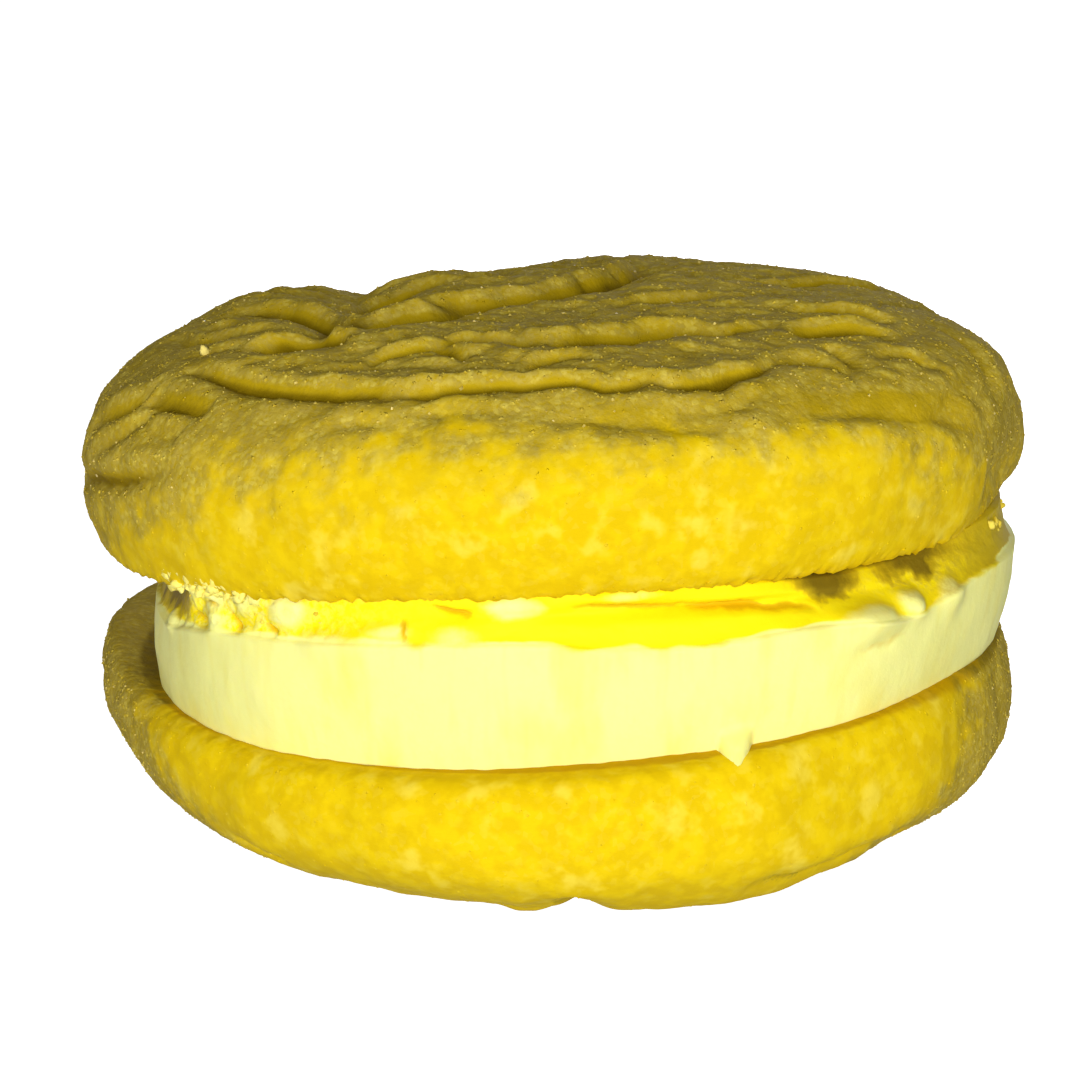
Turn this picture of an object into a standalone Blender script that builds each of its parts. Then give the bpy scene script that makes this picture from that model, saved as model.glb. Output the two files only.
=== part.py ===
"""A sandwich cookie: two soft sugar cookies, flat faces inward, on a thick disc of cream.

Metres, +Z up. The origin is the middle of the flat spot that the lower cookie rests on.
The lower cookie lies on its wrinkled dome, and the upper one has its dome on top. The whole
stands a little thicker on its +X side. -Y is the front, where a drip of cream hangs.
"""

import math
import random
from dataclasses import dataclass

import bmesh
import bpy
import numpy as np
from mathutils import Vector, noise

MM = 0.001

# Driving dimensions
COOKIE_RADIUS = 40.0 * MM
COOKIE_CORNER = 6.2 * MM  # height from a cookie's flat face up to its widest ring
LOWER_DOME = 12.5 * MM
UPPER_DOME = 10.5 * MM
CREAM_RADIUS = 37.9 * MM  # at the foot of the cream's wall
CREAM_WALL = 8.8 * MM
SHOULDER_RISE = 4.0 * MM  # from the brim of the cream's wall up to the upper cookie
GAP = 0.3 * MM  # air between one solid and the next
LOWER_SLOPE = 0.062  # rise of the lower cookie's flat face toward +X
BRIM_SLOPE = 0.045
UPPER_SLOPE = 0.035
REST_RADIUS = 12.0 * MM

# Fineness of the solids
DOME_GRID = 160  # squares along each side of the grid that a dome is pulled from
FLAT_RINGS = (0.86, 0.6)  # each ring's share of the radius of the one outside it
UPPER_FACES = 6400
LOWER_FACES = 3400
CREAM_COLUMNS = 120
SHOULDER_ROWS = 7
WALL_ROWS = 6
DRIP_ROWS = 12
DRIP_SIDES = 12


@dataclass(frozen=True)
class Cookie:
    """One cookie lying on its flat face, with the middle of that face at its own origin."""

    name: str
    radius: float
    corner: float
    dome: float
    power: float  # 2 gives an elliptical dome, and more a flatter top with rounder shoulders
    inset: float  # how far the flat face stops short of the widest ring
    tuck: tuple  # extra inset, and the direction in degrees where it is greatest
    drop: tuple  # how far the widest ring dips, and the direction in degrees where it does
    lobes: tuple  # (waves round the rim, share of the radius, direction in degrees)
    droops: tuple  # (direction and spread in degrees, how far the flat face's rim sags there)
    wedge: float  # slope of the flat face against the dome
    rest: float  # radius of the flat spot on the dome, or 0
    cracks: tuple
    swells: tuple
    seed: int

    @property
    def top(self):
        """Height at the middle of the dome, where the flat spot it rests on is pressed in."""
        pressed = (1 - (self.rest / self.radius) ** self.power) ** (1 / self.power)
        return self.corner + self.dome * pressed


@dataclass(frozen=True)
class Crack:
    """A crack in the crust, in millimetres, as if the dome's skin were peeled off and laid flat.

    start and end are measured from the dome's middle. bow is how far the crack swings to the
    left of the line between them. With a lean, its left bank is wider than its right.
    """

    start: tuple
    end: tuple
    bow: float
    depth: float
    width: float
    lean: float = 0.0


@dataclass(frozen=True)
class Swell:
    """A soft bulge of the crust: its direction in degrees, and the rest in millimetres.

    travel is how far down the dome's skin it lies. It is wide along the rim and tall across it.
    """

    direction: float
    travel: float
    wide: float
    tall: float
    height: float


UPPER_CRACKS = (
    # the long crack round the front shoulder, in three runs
    Crack((-29, -17.5), (-7, -31.5), -3.6, 1.7, 0.9, 0.35),
    Crack((-13, -30.9), (13.5, -30.9), -1.3, 1.9, 0.9, 0.35),
    Crack((10, -31.6), (19.5, -24.0), -1.0, 1.2, 0.9, 0.3),
    # two shallow grooves in front of it
    Crack((11.5, -35), (38, -20.5), -2.2, 1.1, 1.7, 0.2),
    Crack((-4, -35.3), (13, -35.3), -1.6, 0.7, 1.0, 0.3),
    # folds that run out of the pit at the front left
    Crack((-17.5, -20), (-19, 13), 0.9, 1.8, 1.5, 0.0),
    Crack((-18.5, -18), (-3.5, -3), -0.9, 1.6, 1.2, 0.4),
    Crack((-3.5, -8.5), (12, 10.5), 1.0, 1.3, 1.2, 0.4),
    Crack((-16, -20), (-24, -7), -1.0, 1.3, 1.0, 0.0),
    Crack((-15, -18), (-29, -11), 0.6, 1.0, 0.9, 0.0),
    # folds over the top
    Crack((-15, 0), (-2, 13), 2.0, 0.9, 0.9, 0.3),
    Crack((-2, -23.5), (13.5, -16.5), -1.4, 1.4, 1.2, 0.45),
    Crack((-18, -22.3), (1.5, -22.3), -0.6, 0.7, 0.7, 0.3),
    Crack((16.5, -16.4), (28, -13.2), 0.9, 0.9, 0.8, 0.3),
    Crack((20.5, -8.6), (27, -7.4), 0.4, 0.6, 0.7, 0.3),
    Crack((17.5, -1), (28, 8), 0.5, 0.8, 0.9, 0.3),
    Crack((19, -24.5), (29, -21.5), -1.3, 0.7, 0.8, 0.3),
    # wrinkles of the left side, the first of which nicks the outline
    Crack((-45, -9), (-29.5, -30.5), -2.0, 1.2, 0.9, 0.2),
    Crack((-31.5, -19.5), (-27, -25.8), -0.4, 0.9, 0.9, 0.2),
    Crack((-38, -13), (-32, -19), -0.4, 0.7, 0.8, 0.0),
    Crack((-27.5, 5), (-21, -4.5), -0.8, 0.7, 0.7, 0.0),
    Crack((-31, -1), (-27, -12), -0.8, 0.5, 0.7, 0.0),
    # the right rim
    Crack((32, -7), (38.5, -18), 1.0, 0.6, 0.9, 0.0),
    # a broad valley that dips the outline behind the pit
    Crack((-20, -12), (-17, 38), -1.6, 2.3, 3.4, 0.0),
)
UPPER_SWELLS = (
    Swell(-2, 46.5, 8.0, 3.5, 1.2),
    Swell(-20, 48.5, 5.0, 1.6, -1.2),
    Swell(6, 37.0, 12.0, 5.0, -0.5),
    Swell(172, 40.0, 16.0, 5.0, -0.7),
    Swell(104, 27.0, 9.0, 7.0, -0.7),
)
LOWER_CRACKS = (
    Crack((2.2, 35.0), (2.6, 42.5), 0.0, 1.2, 0.8, 0.0),
    Crack((16.0, 37.0), (30.5, 27.5), 0.8, 1.1, 0.9, 0.0),
    Crack((-26.0, 30.5), (-21.0, 34.0), 0.3, 0.8, 0.9, 0.0),
)
LOWER_SWELLS = (Swell(70, 36.0, 12.0, 4.0, 0.3), Swell(180, 43.0, 14.0, 6.0, -0.5))
UPPER = Cookie(
    name="top_cookie",
    radius=COOKIE_RADIUS,
    corner=COOKIE_CORNER,
    dome=UPPER_DOME,
    power=2.9,
    inset=2.2 * MM,
    tuck=(0.4 * MM, 180),
    drop=(2.8 * MM, 180),
    lobes=((2, 0.004, 11), (3, 0.014, 83)),
    droops=((-152, 38, 2.0 * MM), (-38, 24, 1.0 * MM)),
    wedge=0.0,
    rest=0.0,
    cracks=UPPER_CRACKS,
    swells=UPPER_SWELLS,
    seed=4,
)
LOWER = Cookie(
    name="bottom_cookie",
    radius=COOKIE_RADIUS * 1.027,
    corner=COOKIE_CORNER * 0.75,
    dome=LOWER_DOME,
    power=2.34,
    inset=2.0 * MM,
    tuck=(0.8 * MM, 0),
    drop=(0.0, 0),
    lobes=((2, 0.053, 48), (3, 0.027, -16)),
    droops=((180, 32, 0.8 * MM),),
    wedge=LOWER_SLOPE,
    rest=REST_RADIUS,
    cracks=LOWER_CRACKS,
    swells=LOWER_SWELLS,
    seed=9,
)

# Heights of the layers above the floor, at the middle of the stack
LOWER_TOP = LOWER.top
CREAM_FOOT = LOWER_TOP + GAP
BRIM = CREAM_FOOT + CREAM_WALL
UPPER_BASE = BRIM + SHOULDER_RISE + GAP
UPPER_MIDDLE = (0.9 * MM, 0.0)
CREAM_MIDDLE = (2.9 * MM, -0.1 * MM)

# The cream's wall has soft flats that meet at these directions, in degrees
BENDS = (-163, -138, -126, -105, -67, -53, -22, 14, 47, 88, 121, 152)
FLATNESS = 0.35
CREAM_LOBES = ((2, 0.007, 53), (3, 0.007, -17))
BRIM_FLARE = 1.3 * MM  # how far the brim stands out past the foot
# Where the brim sinks: direction and spread in degrees, and how far
BRIM_DIPS = (
    (-165, 25, 1.8 * MM),
    (-103, 18, -0.7 * MM),
    (-80, 12, 0.6 * MM),
    (-47, 11, 1.3 * MM),
)
HOLLOW = (-42, 24)  # direction and spread of the gap under the upper cookie, in degrees
HOLLOW_DEPTH = 2.5 * MM
HOLLOW_HEIGHT = 1.3 * MM
DRIP_DIRECTION = -73.2
DRIP_REACH = 4.0 * MM  # out from inside the wall to past the lower cookie's edge
DRIP_FALL = 2.1 * MM
DRIP_HALF_WIDTH = 2.2 * MM
DRIP_HALF_THICKNESS = 0.9 * MM


def smooth_step(low, high, value):
    """0 below one value and 1 above the other, and a smooth ramp between them."""
    share = np.clip((value - low) / (high - low), 0, 1)
    return share * share * (3 - 2 * share)


def rim_scale(lobes, angle):
    """How far a rim stands in or out of a true circle at an angle."""
    scale = np.ones_like(angle)
    for waves, share, toward in lobes:
        scale += share * np.cos(waves * (angle - math.radians(toward)))
    return scale


def near(angle, direction, spread):
    """1 in a direction and fading to 0 at a spread to either side of it, both in degrees."""
    away = np.mod(np.degrees(angle) - direction + 180, 360) - 180
    return np.exp(-((away / spread) ** 2))


def droop(cookie, angle, radius):
    """How far the rim of a cookie's flat face sags."""
    sag = 0 * angle
    for direction, spread, depth in cookie.droops:
        sag += depth * near(angle, direction, spread)
    return sag * smooth_step(0.8 * cookie.radius, 0.95 * cookie.radius, radius)


def side_profile(cookie):
    """Travel, radius and height down a cookie, from the middle of its dome to its flat face."""
    sweep = np.linspace(math.pi / 2, 0, 400)
    radius = cookie.radius * np.cos(sweep) ** (2 / cookie.power)
    height = cookie.corner + cookie.dome * np.sin(sweep) ** (2 / cookie.power)
    fall = np.linspace(0, math.pi / 2, 100)[1:]
    radius = np.concatenate([radius, cookie.radius - cookie.inset * (1 - np.cos(fall))])
    height = np.concatenate([height, cookie.corner * (1 - np.sin(fall))])
    travel = np.concatenate([[0], np.cumsum(np.hypot(np.diff(radius), np.diff(height)))])
    return travel, radius, height


def groove(crack, across, along):
    """Depth of one crack at points of the laid-flat skin, with the low swell of its banks."""
    start = np.array(crack.start) * MM
    chord = np.array(crack.end) * MM - start
    half = np.hypot(*chord) / 2
    direction = chord / (2 * half)
    middle = start + chord / 2
    run = ((across - middle[0]) * direction[0] + (along - middle[1]) * direction[1]) / half
    side = (along - middle[1]) * direction[0] - (across - middle[0]) * direction[1]
    side -= crack.bow * MM * (1 - run * run)
    width = crack.width * MM * np.where(side > 0, 1 + crack.lean, 1 - crack.lean)
    offset = abs(side) / width
    taper = np.clip(1 - run * run, 0, 1) ** 0.6
    bank = 0.25 * np.exp(-((offset - 2.4) ** 2))
    return taper * crack.depth * MM * (bank - np.exp(-(offset**1.5)))


def small_cracks(seed, count=46, reach=41.0, spacing=4.6):
    """Short shallow cracks strewn evenly over a dome, mostly running round it."""
    draw = random.Random(seed)
    spots = []
    cracks = []
    while len(spots) < count:
        travel = reach * math.sqrt(draw.random())
        angle = draw.uniform(-math.pi, math.pi)
        spot = Vector((travel * math.cos(angle), travel * math.sin(angle)))
        if any((spot - other).length < spacing for other in spots):
            continue
        spots.append(spot)
        heading = angle + math.pi / 2 + draw.gauss(0, 0.6)
        half = Vector((math.cos(heading), math.sin(heading))) * draw.uniform(3.0, 7.5)
        bow = draw.uniform(-1.2, 1.2)
        depth = draw.uniform(0.25, 0.6)
        width = draw.uniform(0.6, 0.9)
        cracks.append(Crack(tuple(spot - half), tuple(spot + half), bow, depth, width, 0.3))
    return cracks


def lumps(points, size, seed, octaves=3):
    """Uneven swells of about -1 to 1, of a given size."""
    shift = Vector((seed * 7.1, seed * 3.7, seed * 1.9))
    return np.array([noise.fractal(Vector(point) / size + shift, 1.0, 2.0, octaves) for point in points])


def relief(cookie, travel, angle):
    """How far the crust stands out of, or sinks into, the cookie's smooth form."""
    across = travel * np.cos(angle)
    along = travel * np.sin(angle)
    flat = np.stack([across, along, 0 * across], axis=-1)
    height = 0.45 * MM * lumps(flat, 11 * MM, cookie.seed)
    warp = 0.9 * MM * lumps(flat, 6 * MM, cookie.seed + 1, 2)
    for crack in (*cookie.cracks, *small_cracks(cookie.seed)):
        height += groove(crack, across + warp, along - warp)
    for swell in cookie.swells:
        away = np.mod(angle - math.radians(swell.direction) + math.pi, 2 * math.pi) - math.pi
        round_rim = away * cookie.radius / (swell.wide * MM)
        down = (travel - swell.travel * MM) / (swell.tall * MM)
        height += swell.height * MM * np.exp(-(round_rim**2) - down**2)
    return height


def skin(cookie, travel, angle, rough=True):
    """Points of a cookie's skin at a travel from the dome's middle, in a direction round it."""
    run, radii, heights = side_profile(cookie)
    radius = np.interp(travel, run, radii)
    height = np.interp(travel, run, heights)
    outward = -np.interp(travel, run, np.gradient(heights, run))
    upward = np.interp(travel, run, np.gradient(radii, run))
    below = np.clip(1 - height / cookie.corner, 0, 1)
    above = np.clip((height - cookie.corner) / cookie.dome, 0, 1)
    depth, toward = cookie.drop
    facing = (0.5 + 0.5 * np.cos(angle - math.radians(toward))) ** 2
    height -= depth * facing * smooth_step(1, 0, above) * smooth_step(1, 0, below)
    extra, toward = cookie.tuck
    facing = np.clip(np.cos(angle - math.radians(toward)), 0, 1)
    radius -= extra * facing * (1 - np.sqrt(1 - below * below))
    if rough:
        out = relief(cookie, travel, angle)
        out *= 1 - smooth_step(run[-1] - 2 * MM, run[-1], travel)
        if cookie.rest:
            out *= smooth_step(cookie.rest, cookie.rest + 5 * MM, travel)
        radius += out * outward
        height += out * upward
    if cookie.rest:
        height = np.minimum(height, cookie.top)
    radius *= rim_scale(cookie.lobes, angle)
    height -= droop(cookie, angle, radius) * below
    x = radius * np.cos(angle)
    y = radius * np.sin(angle)
    height -= cookie.wedge * x * below
    return np.stack([x, y, height], axis=-1)


def disc_polar(points):
    """Square-grid points pushed out to a disc: each square ring of the grid becomes a circle."""
    x, y = points.T
    reach = np.maximum(abs(x), abs(y))
    safe = np.where(reach == 0, 1, reach)
    eighth = math.pi / 4
    angle = np.where(
        abs(x) >= abs(y),
        eighth * y / safe * np.sign(x) + np.where(x < 0, math.pi, 0),
        np.sign(y) * (2 * eighth - eighth * x / safe),
    )
    return reach, angle


def move(verts, points):
    for vert, point in zip(verts, points):
        vert.co = point


def drawn_out(shape, edges):
    """The free edges of one more ring of faces, still lying on the old ring."""
    made = bmesh.ops.extrude_edge_only(shape, edges=edges)["geom"]
    return [item for item in made if isinstance(item, bmesh.types.BMEdge) and item.is_boundary]


def finished(shape, name):
    bmesh.ops.recalc_face_normals(shape, faces=shape.faces)
    mesh = bpy.data.meshes.new(name)
    shape.to_mesh(mesh)
    shape.free()
    return mesh


def cookie_mesh(cookie, grid, rough=True):
    """The domed skin is a grid pulled into a disc; its edge is then drawn in to the flat face."""
    shape = bmesh.new()
    bmesh.ops.create_grid(shape, x_segments=grid, y_segments=grid, size=1)
    verts = list(shape.verts)
    reach, angle = disc_polar(np.array([vert.co.xy for vert in verts]))
    edge_travel = side_profile(cookie)[0][-1]
    move(verts, skin(cookie, reach * edge_travel, angle, rough))
    edges = [edge for edge in shape.edges if edge.is_boundary]
    for share in FLAT_RINGS:
        edges = drawn_out(shape, edges)
        for vert in {vert for edge in edges for vert in edge.verts}:
            vert.co *= share
            vert.co.z = -cookie.wedge * vert.co.x
    bmesh.ops.contextual_create(shape, geom=edges)
    return finished(shape, cookie.name)


def facets(angle):
    """Radius share of a rim whose stretches between bends are partly flattened."""
    turns = np.radians(np.array([*BENDS, BENDS[0] + 360]))
    angle = np.mod(angle - turns[0], 2 * math.pi) + turns[0]
    after = np.searchsorted(turns, angle, side="right")
    after = np.clip(after, 1, len(turns) - 1)
    half = (turns[after] - turns[after - 1]) / 2
    middle = (turns[after] + turns[after - 1]) / 2
    chord = np.cos(half) / np.cos(angle - middle)
    return 1 - FLATNESS * (1 - chord)


def lower_flat(x, y):
    """Height of the lower cookie's flat face, which this cookie, turned over, holds up."""
    return LOWER_TOP + LOWER_SLOPE * x + droop(LOWER, np.arctan2(-y, x), np.hypot(x, y))


def upper_flat(x, y):
    """Height of the upper cookie's flat face."""
    x = x - UPPER_MIDDLE[0]
    return UPPER_BASE + UPPER_SLOPE * x - droop(UPPER, np.arctan2(y, x), np.hypot(x, y))


def cream_ring(angle, station):
    """One ring round the cream. Stations run 0 to 1 up the wall and 1 to 2 up the shoulder."""
    wall = min(station, 1)
    rise = max(station - 1, 0)
    round_rim = facets(angle) * rim_scale(CREAM_LOBES, angle)
    hollow = near(angle, *HOLLOW)
    flare = BRIM_FLARE * (1 - near(angle, -170, 28))
    radius = CREAM_RADIUS + flare * wall + 0.3 * MM * math.sin(math.pi * wall)
    ledge = (1.4 * MM + HOLLOW_DEPTH * hollow * rise) * rise**0.35
    pinch = 0.8 * MM * math.exp(-(((rise - 0.6) / 0.12) ** 2)) * near(angle, -76, 22)
    radius = (radius - ledge - pinch) * round_rim
    x = CREAM_MIDDLE[0] + radius * np.cos(angle)
    y = CREAM_MIDDLE[1] + radius * np.sin(angle)
    ring = np.stack([np.cos(angle), np.sin(angle), 0 * angle + station * 0.2], axis=-1)
    sway = lumps(ring, 0.35, 2)
    foot = lower_flat(x, y) + GAP
    brim = BRIM + BRIM_SLOPE * x + 0.3 * MM * sway
    for direction, spread, depth in BRIM_DIPS:
        brim -= depth * near(angle, direction, spread)
    contact = upper_flat(x, y) - GAP - HOLLOW_HEIGHT * hollow
    z = foot + (brim - foot) * wall + (contact - brim) * rise
    return np.stack([x, y, z], axis=-1)


def cream_mesh(columns, wall_rows, shoulder_rows):
    shape = bmesh.new()
    verts = bmesh.ops.create_circle(shape, segments=columns, radius=1)["verts"]
    edges = list(shape.edges)
    angle = np.array([math.atan2(vert.co.y, vert.co.x) for vert in verts])
    order = {vert: index for index, vert in enumerate(verts)}
    stations = [row / wall_rows for row in range(wall_rows + 1)]
    stations += [1 + row / shoulder_rows for row in range(1, shoulder_rows + 1)]
    move(verts, cream_ring(angle, stations[0]))
    bmesh.ops.contextual_create(shape, geom=edges)
    for station in stations[1:]:
        edges = drawn_out(shape, edges)
        ring = list({vert for edge in edges for vert in edge.verts})
        turn = np.array([math.atan2(v.co.y - CREAM_MIDDLE[1], v.co.x - CREAM_MIDDLE[0]) for v in ring])
        move(ring, cream_ring(turn, station))
    bmesh.ops.contextual_create(shape, geom=edges)
    return finished(shape, "cream_filling")


def drip_mesh(rings, sides):
    """A tongue of cream that slips over the lower cookie's edge and tapers to its tip."""
    direction = math.radians(DRIP_DIRECTION)
    outward = Vector((math.cos(direction), math.sin(direction), 0))
    aside = Vector((-outward.y, outward.x, 0))
    up = Vector((0, 0, 1))
    root = Vector((*CREAM_MIDDLE, 0)) + outward * (CREAM_RADIUS - MM)
    root.z = float(lower_flat(root.x, root.y)) + GAP + MM
    shape = bmesh.new()
    bmesh.ops.create_uvsphere(shape, u_segments=sides, v_segments=rings, radius=1)
    for vert in shape.verts:
        share = 0.5 - 0.5 * vert.co.z
        bend = math.pi / 2 * float(smooth_step(0.15, 0.75, share))
        spine = root + outward * DRIP_REACH * math.sin(bend) - up * DRIP_FALL * share**2
        girth = 1 - 0.65 * share
        thick = (up * math.cos(bend) + outward * math.sin(bend)) * DRIP_HALF_THICKNESS
        vert.co = spine + girth * (aside * vert.co.x * DRIP_HALF_WIDTH + thick * vert.co.y)
    return finished(shape, "drip")


def paint(name, color, roughness):
    material = bpy.data.materials.new(name)
    material.use_nodes = True
    surface = material.node_tree.nodes["Principled BSDF"]
    surface.inputs["Base Color"].default_value = (*color, 1)
    surface.inputs["Roughness"].default_value = roughness
    return material


def add(name, mesh, material):
    mesh.materials.append(material)
    mesh.shade_smooth()
    piece = bpy.data.objects.new(name, mesh)
    bpy.context.scene.collection.objects.link(piece)
    return piece


def thin_out(piece, faces):
    """Fewer triangles, kept where the relief is."""
    piece.data.calc_loop_triangles()
    fewer = piece.modifiers.new("fewer faces", "DECIMATE")
    fewer.ratio = faces / len(piece.data.loop_triangles)
    fewer.use_collapse_triangulate = True


def join(piece, helper):
    helper.hide_render = True
    helper.display_type = "WIRE"
    union = piece.modifiers.new(helper.name, "BOOLEAN")
    union.operation = "UNION"
    union.object = helper


def main():
    for item in list(bpy.data.objects):
        bpy.data.objects.remove(item)
    crust = paint("sugar cookie", (0.80, 0.55, 0.06), 0.85)
    cream = paint("vanilla cream", (0.95, 0.90, 0.40), 0.45)
    lower = add(LOWER.name, cookie_mesh(LOWER, DOME_GRID), crust)
    thin_out(lower, LOWER_FACES)
    lower.rotation_euler.x = math.pi
    lower.location.z = LOWER_TOP
    filling = add("cream_filling", cream_mesh(CREAM_COLUMNS, WALL_ROWS, SHOULDER_ROWS), cream)
    join(filling, add("drip", drip_mesh(DRIP_ROWS, DRIP_SIDES), cream))
    upper = add(UPPER.name, cookie_mesh(UPPER, DOME_GRID), crust)
    thin_out(upper, UPPER_FACES)
    upper.rotation_euler.y = -math.atan(UPPER_SLOPE)
    upper.location = (*UPPER_MIDDLE, UPPER_BASE)


if __name__ == "__main__":
    main()
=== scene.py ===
"""A sandwich cookie as it looks: two cracked sugar cookies on a thick disc of pale cream.

Metres, +Z up. The origin is the flat spot that the lower cookie rests on, and -Y is the front.
"""

import math
import random
from dataclasses import dataclass

import bmesh
import bpy
import numpy as np
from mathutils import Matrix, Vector, noise


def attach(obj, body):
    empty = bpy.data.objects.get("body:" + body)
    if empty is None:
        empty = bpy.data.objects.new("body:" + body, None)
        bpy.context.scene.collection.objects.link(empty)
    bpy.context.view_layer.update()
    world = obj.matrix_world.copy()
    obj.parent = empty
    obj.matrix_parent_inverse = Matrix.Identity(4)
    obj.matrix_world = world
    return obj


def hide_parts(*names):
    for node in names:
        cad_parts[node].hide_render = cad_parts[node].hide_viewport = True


bl_info = {
    "name": "Sandwich cookie",
    "version": (1, 0, 0),
    "blender": (4, 5, 0),
    "location": "View3D > Sidebar > Cookie",
    "description": "Two cracked sugar cookies on a thick disc of cream",
    "category": "Object",
}

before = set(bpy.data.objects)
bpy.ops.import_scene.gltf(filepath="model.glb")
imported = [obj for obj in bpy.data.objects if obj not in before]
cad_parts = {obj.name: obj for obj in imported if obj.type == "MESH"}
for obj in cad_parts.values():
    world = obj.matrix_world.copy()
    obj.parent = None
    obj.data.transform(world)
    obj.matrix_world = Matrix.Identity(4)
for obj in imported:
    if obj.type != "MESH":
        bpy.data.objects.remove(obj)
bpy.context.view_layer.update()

MM = 0.001

# Driving dimensions, shared with the solids
COOKIE_RADIUS = 40.0 * MM
COOKIE_CORNER = 6.2 * MM  # height from a cookie's flat face up to its widest ring
LOWER_DOME = 12.5 * MM
UPPER_DOME = 10.5 * MM
CREAM_RADIUS = 37.9 * MM  # at the foot of the cream's wall
CREAM_WALL = 8.8 * MM
SHOULDER_RISE = 4.0 * MM  # from the brim of the cream's wall up to the upper cookie
GAP = 0.3 * MM
LOWER_SLOPE = 0.062  # rise of the lower cookie's flat face toward +X
BRIM_SLOPE = 0.045
UPPER_SLOPE = 0.035
REST_RADIUS = 12.0 * MM

# Fineness of the meshes
DOME_GRID = 290  # squares along each side of the grid that a dome is pulled from
FINER_TOP = 0.82  # size of the dome's squares at its middle, as a share of their mean size
FLAT_RINGS = (0.985,) * 8 + (0.85, 0.6)  # each ring's share of the radius of the one outside it
CREAM_COLUMNS = 1000
WALL_ROWS = 36
SHOULDER_ROWS = 34
CAP_RINGS = (0.93, 0.8, 0.5)


@dataclass(frozen=True)
class Cookie:
    """One cookie lying on its flat face, with the middle of that face at its own origin."""

    node: str
    radius: float
    corner: float
    dome: float
    power: float  # 2 gives an elliptical dome, and more a flatter top with rounder shoulders
    inset: float  # how far the flat face stops short of the widest ring
    tuck: tuple  # extra inset, and the direction in degrees where it is greatest
    drop: tuple  # how far the widest ring dips, and the direction in degrees where it does
    lobes: tuple  # (waves round the rim, share of the radius, direction in degrees)
    droops: tuple  # (direction and spread in degrees, how far the flat face's rim sags there)
    wedge: float  # slope of the flat face against the dome
    rest: float  # radius of the flat spot on the dome, or 0
    cracks: tuple
    swells: tuple
    seed: int
    browned_and_shaded: tuple  # how far down the skin, in millimetres, the crust shows browning with painted shade: in front, and at the sides, where painted shade of the light falling off carries it further down
    folds: float  # height of the skin's fine folds, in millimetres
    cream_middle: tuple  # middle of the cream, on the cookie's own axes
    contact_shade_strength: float  # strength of the ring of painted shade where the crumb meets the cream
    ragged: float  # height of the crumbs along the rim of the flat face, in millimetres

    @property
    def top(self):
        """Height at the middle of the dome, where the flat spot it rests on is pressed in."""
        pressed = (1 - (self.rest / self.radius) ** self.power) ** (1 / self.power)
        return self.corner + self.dome * pressed


@dataclass(frozen=True)
class Crack:
    """A crack in the crust, in millimetres, as if the dome's skin were peeled off and laid flat.

    start and end are measured from the dome's middle. bow is how far the crack swings to the
    left of the line between them. With a lean, its left bank is wider than its right.
    """

    start: tuple
    end: tuple
    bow: float
    depth: float
    width: float
    lean: float = 0.0


@dataclass(frozen=True)
class Swell:
    """A soft bulge of the crust: its direction in degrees, and the rest in millimetres.

    travel is how far down the dome's skin it lies. It is wide along the rim and tall across it.
    """

    direction: float
    travel: float
    wide: float
    tall: float
    height: float
    dark: float = 0.0  # share of shade at its middle


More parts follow.
